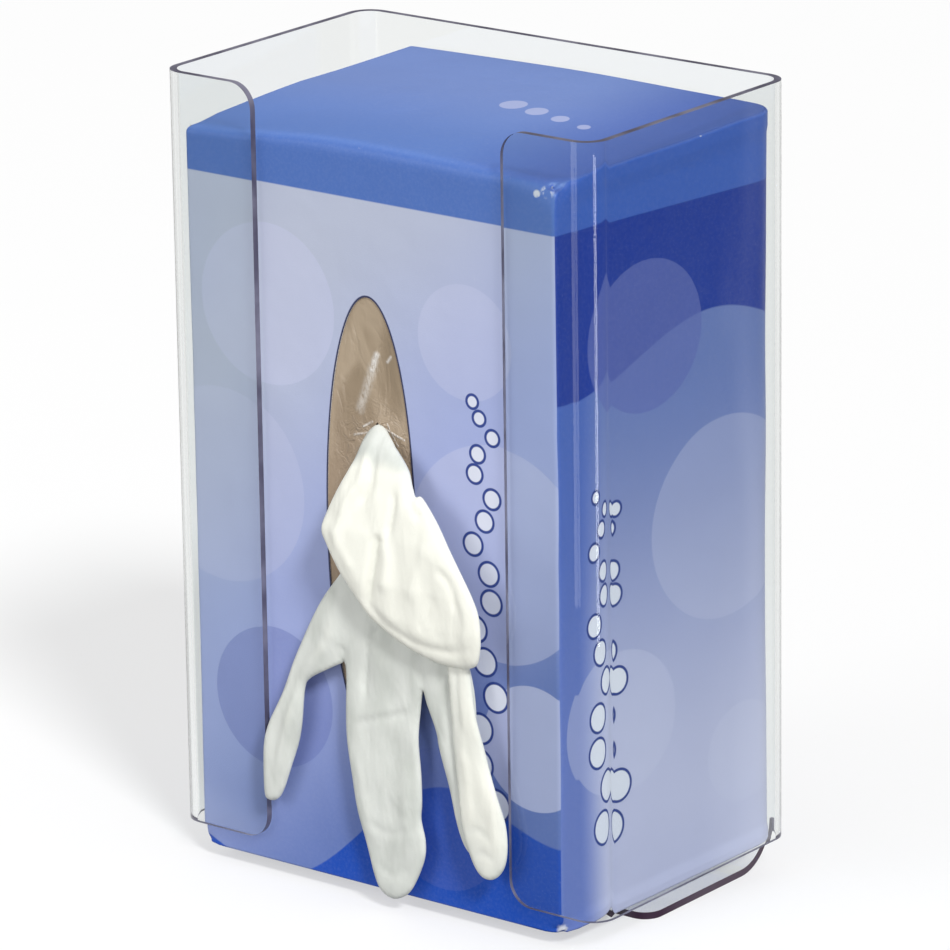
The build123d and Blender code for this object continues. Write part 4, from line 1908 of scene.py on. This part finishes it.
@dataclass
class Studio:
    """The camera, the lights, and the plain white ground.

    A wide box fills in from the front. Two narrow ones stand near the dispenser, for its bends to
    mirror as bright lines.
    """

    target: Spot = (-4.32, -7.85, 132.18)
    azimuth: float = 37.89
    elevation: float = 17.20
    roll: float = -0.814
    distance: float = 2156.0
    lens: float = 249.9
    sensor: float = 36.0
    ambient: float = 0.50
    mirrored: float = 0.22
    key_azimuth: float = 60.0
    key_elevation: float = 42.0
    key_strength: float = 2.3
    key_spread: float = 11.0
    floor_reach: float = 9000.0
    floor_drop: float = 0.15
    boxes: tuple[SoftBox, ...] = (
        SoftBox("front_fill", (-760.9, -1570.0, 902.8), -26.0, 24.0, 800.0, 800.0, 7.0),
        SoftBox("side_strip", (376.0, -156.0, 93.0), 73.0, 0.0, 30.0, 182.0, 0.12),
        SoftBox("front_strip", (-68.0, -382.0, 93.0), -25.0, 0.0, 84.0, 182.0, 0.085),
    )

    @staticmethod
    def _back(azimuth: float, elevation: float) -> Vector:
        """Gives the direction from the object to something at an azimuth and elevation in degrees."""
        a, e = math.radians(azimuth), math.radians(elevation)
        return Vector((math.sin(a) * math.cos(e), -math.cos(a) * math.cos(e), math.sin(e)))

    def add_camera(self) -> bpy.types.Object:
        """Sets up the camera.

        Returns:
            The scene's camera.
        """
        data = bpy.data.cameras.new("camera")
        data.lens = self.lens
        data.sensor_width = self.sensor
        data.clip_start, data.clip_end = 0.05, 50.0
        camera = bpy.data.objects.new("camera", data)
        bpy.context.scene.collection.objects.link(camera)
        back = self._back(self.azimuth, self.elevation)
        right = (-back).cross(Vector((0, 0, 1))).normalized()
        up = right.cross(-back)
        roll = math.radians(self.roll)
        across = right * math.cos(roll) + up * math.sin(roll)
        upward = up * math.cos(roll) - right * math.sin(roll)
        turn = Matrix((across, upward, back)).transposed().to_4x4()
        place = (Vector(self.target) + back * self.distance) * MM
        camera.matrix_world = Matrix.Translation(place) @ turn
        bpy.context.scene.camera = camera
        return camera

    def _hang(self, data: bpy.types.Light, place: Spot, azimuth: float, elevation: float) -> None:
        """Adds a light to the scene.

        Args:
            data: The light.
            place: Where it hangs.
            azimuth: The side that it shines from, in degrees.
            elevation: How high it shines from, in degrees.
        """
        lamp = bpy.data.objects.new(data.name, data)
        lamp.location = Vector(place) * MM
        lamp.rotation_euler = self._back(azimuth, elevation).to_track_quat("Z", "Y").to_euler()
        bpy.context.scene.collection.objects.link(lamp)

    def add_lights(self) -> None:
        """Hangs the area lights and the sun, and sets the even light of the world."""
        for box in self.boxes:
            data = bpy.data.lights.new(box.name, "AREA")
            data.shape = "RECTANGLE"
            data.size, data.size_y = box.width * MM, box.height * MM
            data.energy = box.power
            self._hang(data, box.place, box.azimuth, box.elevation)
        key = bpy.data.lights.new("key_light", "SUN")
        key.energy = self.key_strength
        key.angle = math.radians(self.key_spread)
        self._hang(key, (0.0, 0.0, 0.0), self.key_azimuth, self.key_elevation)
        bpy.context.scene.world = self._sky()

    def _sky(self) -> bpy.types.World:
        """Makes the even light: white where it is looked at, and dimmer where it lights or is mirrored.

        Returns:
            The world.
        """
        bench = Bench(bpy.data.worlds.new("studio_world"))
        even, seen, dim = (bench.node("ShaderNodeBackground", sockets={"Color": WHITE, "Strength": strength})
                           for strength in (self.ambient, 1.0, self.mirrored))
        looked_at = bench.ray("Is Camera Ray").above(bench.ray("Is Transmission Ray"))
        plain = bench.mixed(looked_at, even, seen)
        sky = bench.mixed(bench.ray("Glossy Depth") > 0.5, plain, dim)
        return bench.finished(sky, "ShaderNodeOutputWorld")

    def add_floor(self, material: bpy.types.Material) -> bpy.types.Object:
        """Lays the floor under the dispenser.

        Args:
            material: Its material.

        Returns:
            The floor.
        """
        ring = arc((0.0, 0.0), self.floor_reach, 0, 360, 64)[:-1]
        points = np.array([(x, y, -self.floor_drop) for x, y in ring])
        floor = make_object("studio_floor", points, [list(range(len(ring)))], [material])
        return floor


def corners_mm(node: str) -> tuple[np.ndarray, np.ndarray]:
    """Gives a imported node's box.

    Args:
        node: The node's name.

    Returns:
        Its lowest and highest corner in millimetres.
    """
    low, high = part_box(node)
    return np.array(low) / MM, np.array(high) / MM


def report(piece: bpy.types.Object) -> None:
    """Logs a finished piece's name and size.

    Args:
        piece: The piece.
    """
    size = ", ".join(f"{side / MM:.1f}" for side in piece.dimensions)
    LOG.info("%s: %s mm, %d faces", piece.name, size, len(piece.data.polygons))


def main() -> None:
    """Builds the studio and every piece, in order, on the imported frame."""
    logging.basicConfig(level=logging.INFO, format="%(message)s")
    studio = Studio()
    studio.add_camera()
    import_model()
    bpy.context.scene.view_settings.view_transform = "Standard"
    studio.add_lights()
    studio.add_floor(StudioGround().material())

    _, holder_high = corners_mm("clear_holder")
    carton_low, carton_high = corners_mm("glove_carton")
    stack_low, stack_high = corners_mm("glove_stack")

    holder = ClearHolder(wall_y=float(holder_high[1]), top=float(holder_high[2]))
    report(holder.build(ClearSheet().material(), SawnEdge().material()))

    carton = GloveCarton(front_y=float(carton_low[1]), back_y=float(carton_high[1]))
    report(carton.build(PrintedCard(carton.oval).material(), BareCard().material()))

    film = SlitFilm(centre=carton.oval[:2], front_y=carton.front_y + carton.card)
    report(film.build(CrinkledFilm(film.slit).material()))

    packed = Latex("packed_latex", ink(214, 200, 176), ink(190, 172, 146), ink(214, 200, 176),
                   double_y=0.0, relief_depth=0.9)
    stack = GloveStack(tuple(map(float, stack_low)), tuple(map(float, stack_high)), rack=carton.rack * 0.94)
    report(stack.build(packed.material()))

    # Its third colour is partly painted light: the cuff and the lapped finger, closest to the front, are
    # painted whiter.
    fresh = Latex("fresh_latex", ink(224, 227, 221), ink(207, 211, 204), ink(246, 246, 235),
                  double_y=carton.front_y - 7.6)
    report(HangingGlove(front_y=carton.front_y).build(fresh.material()))


if __name__ == "__main__":
    main()
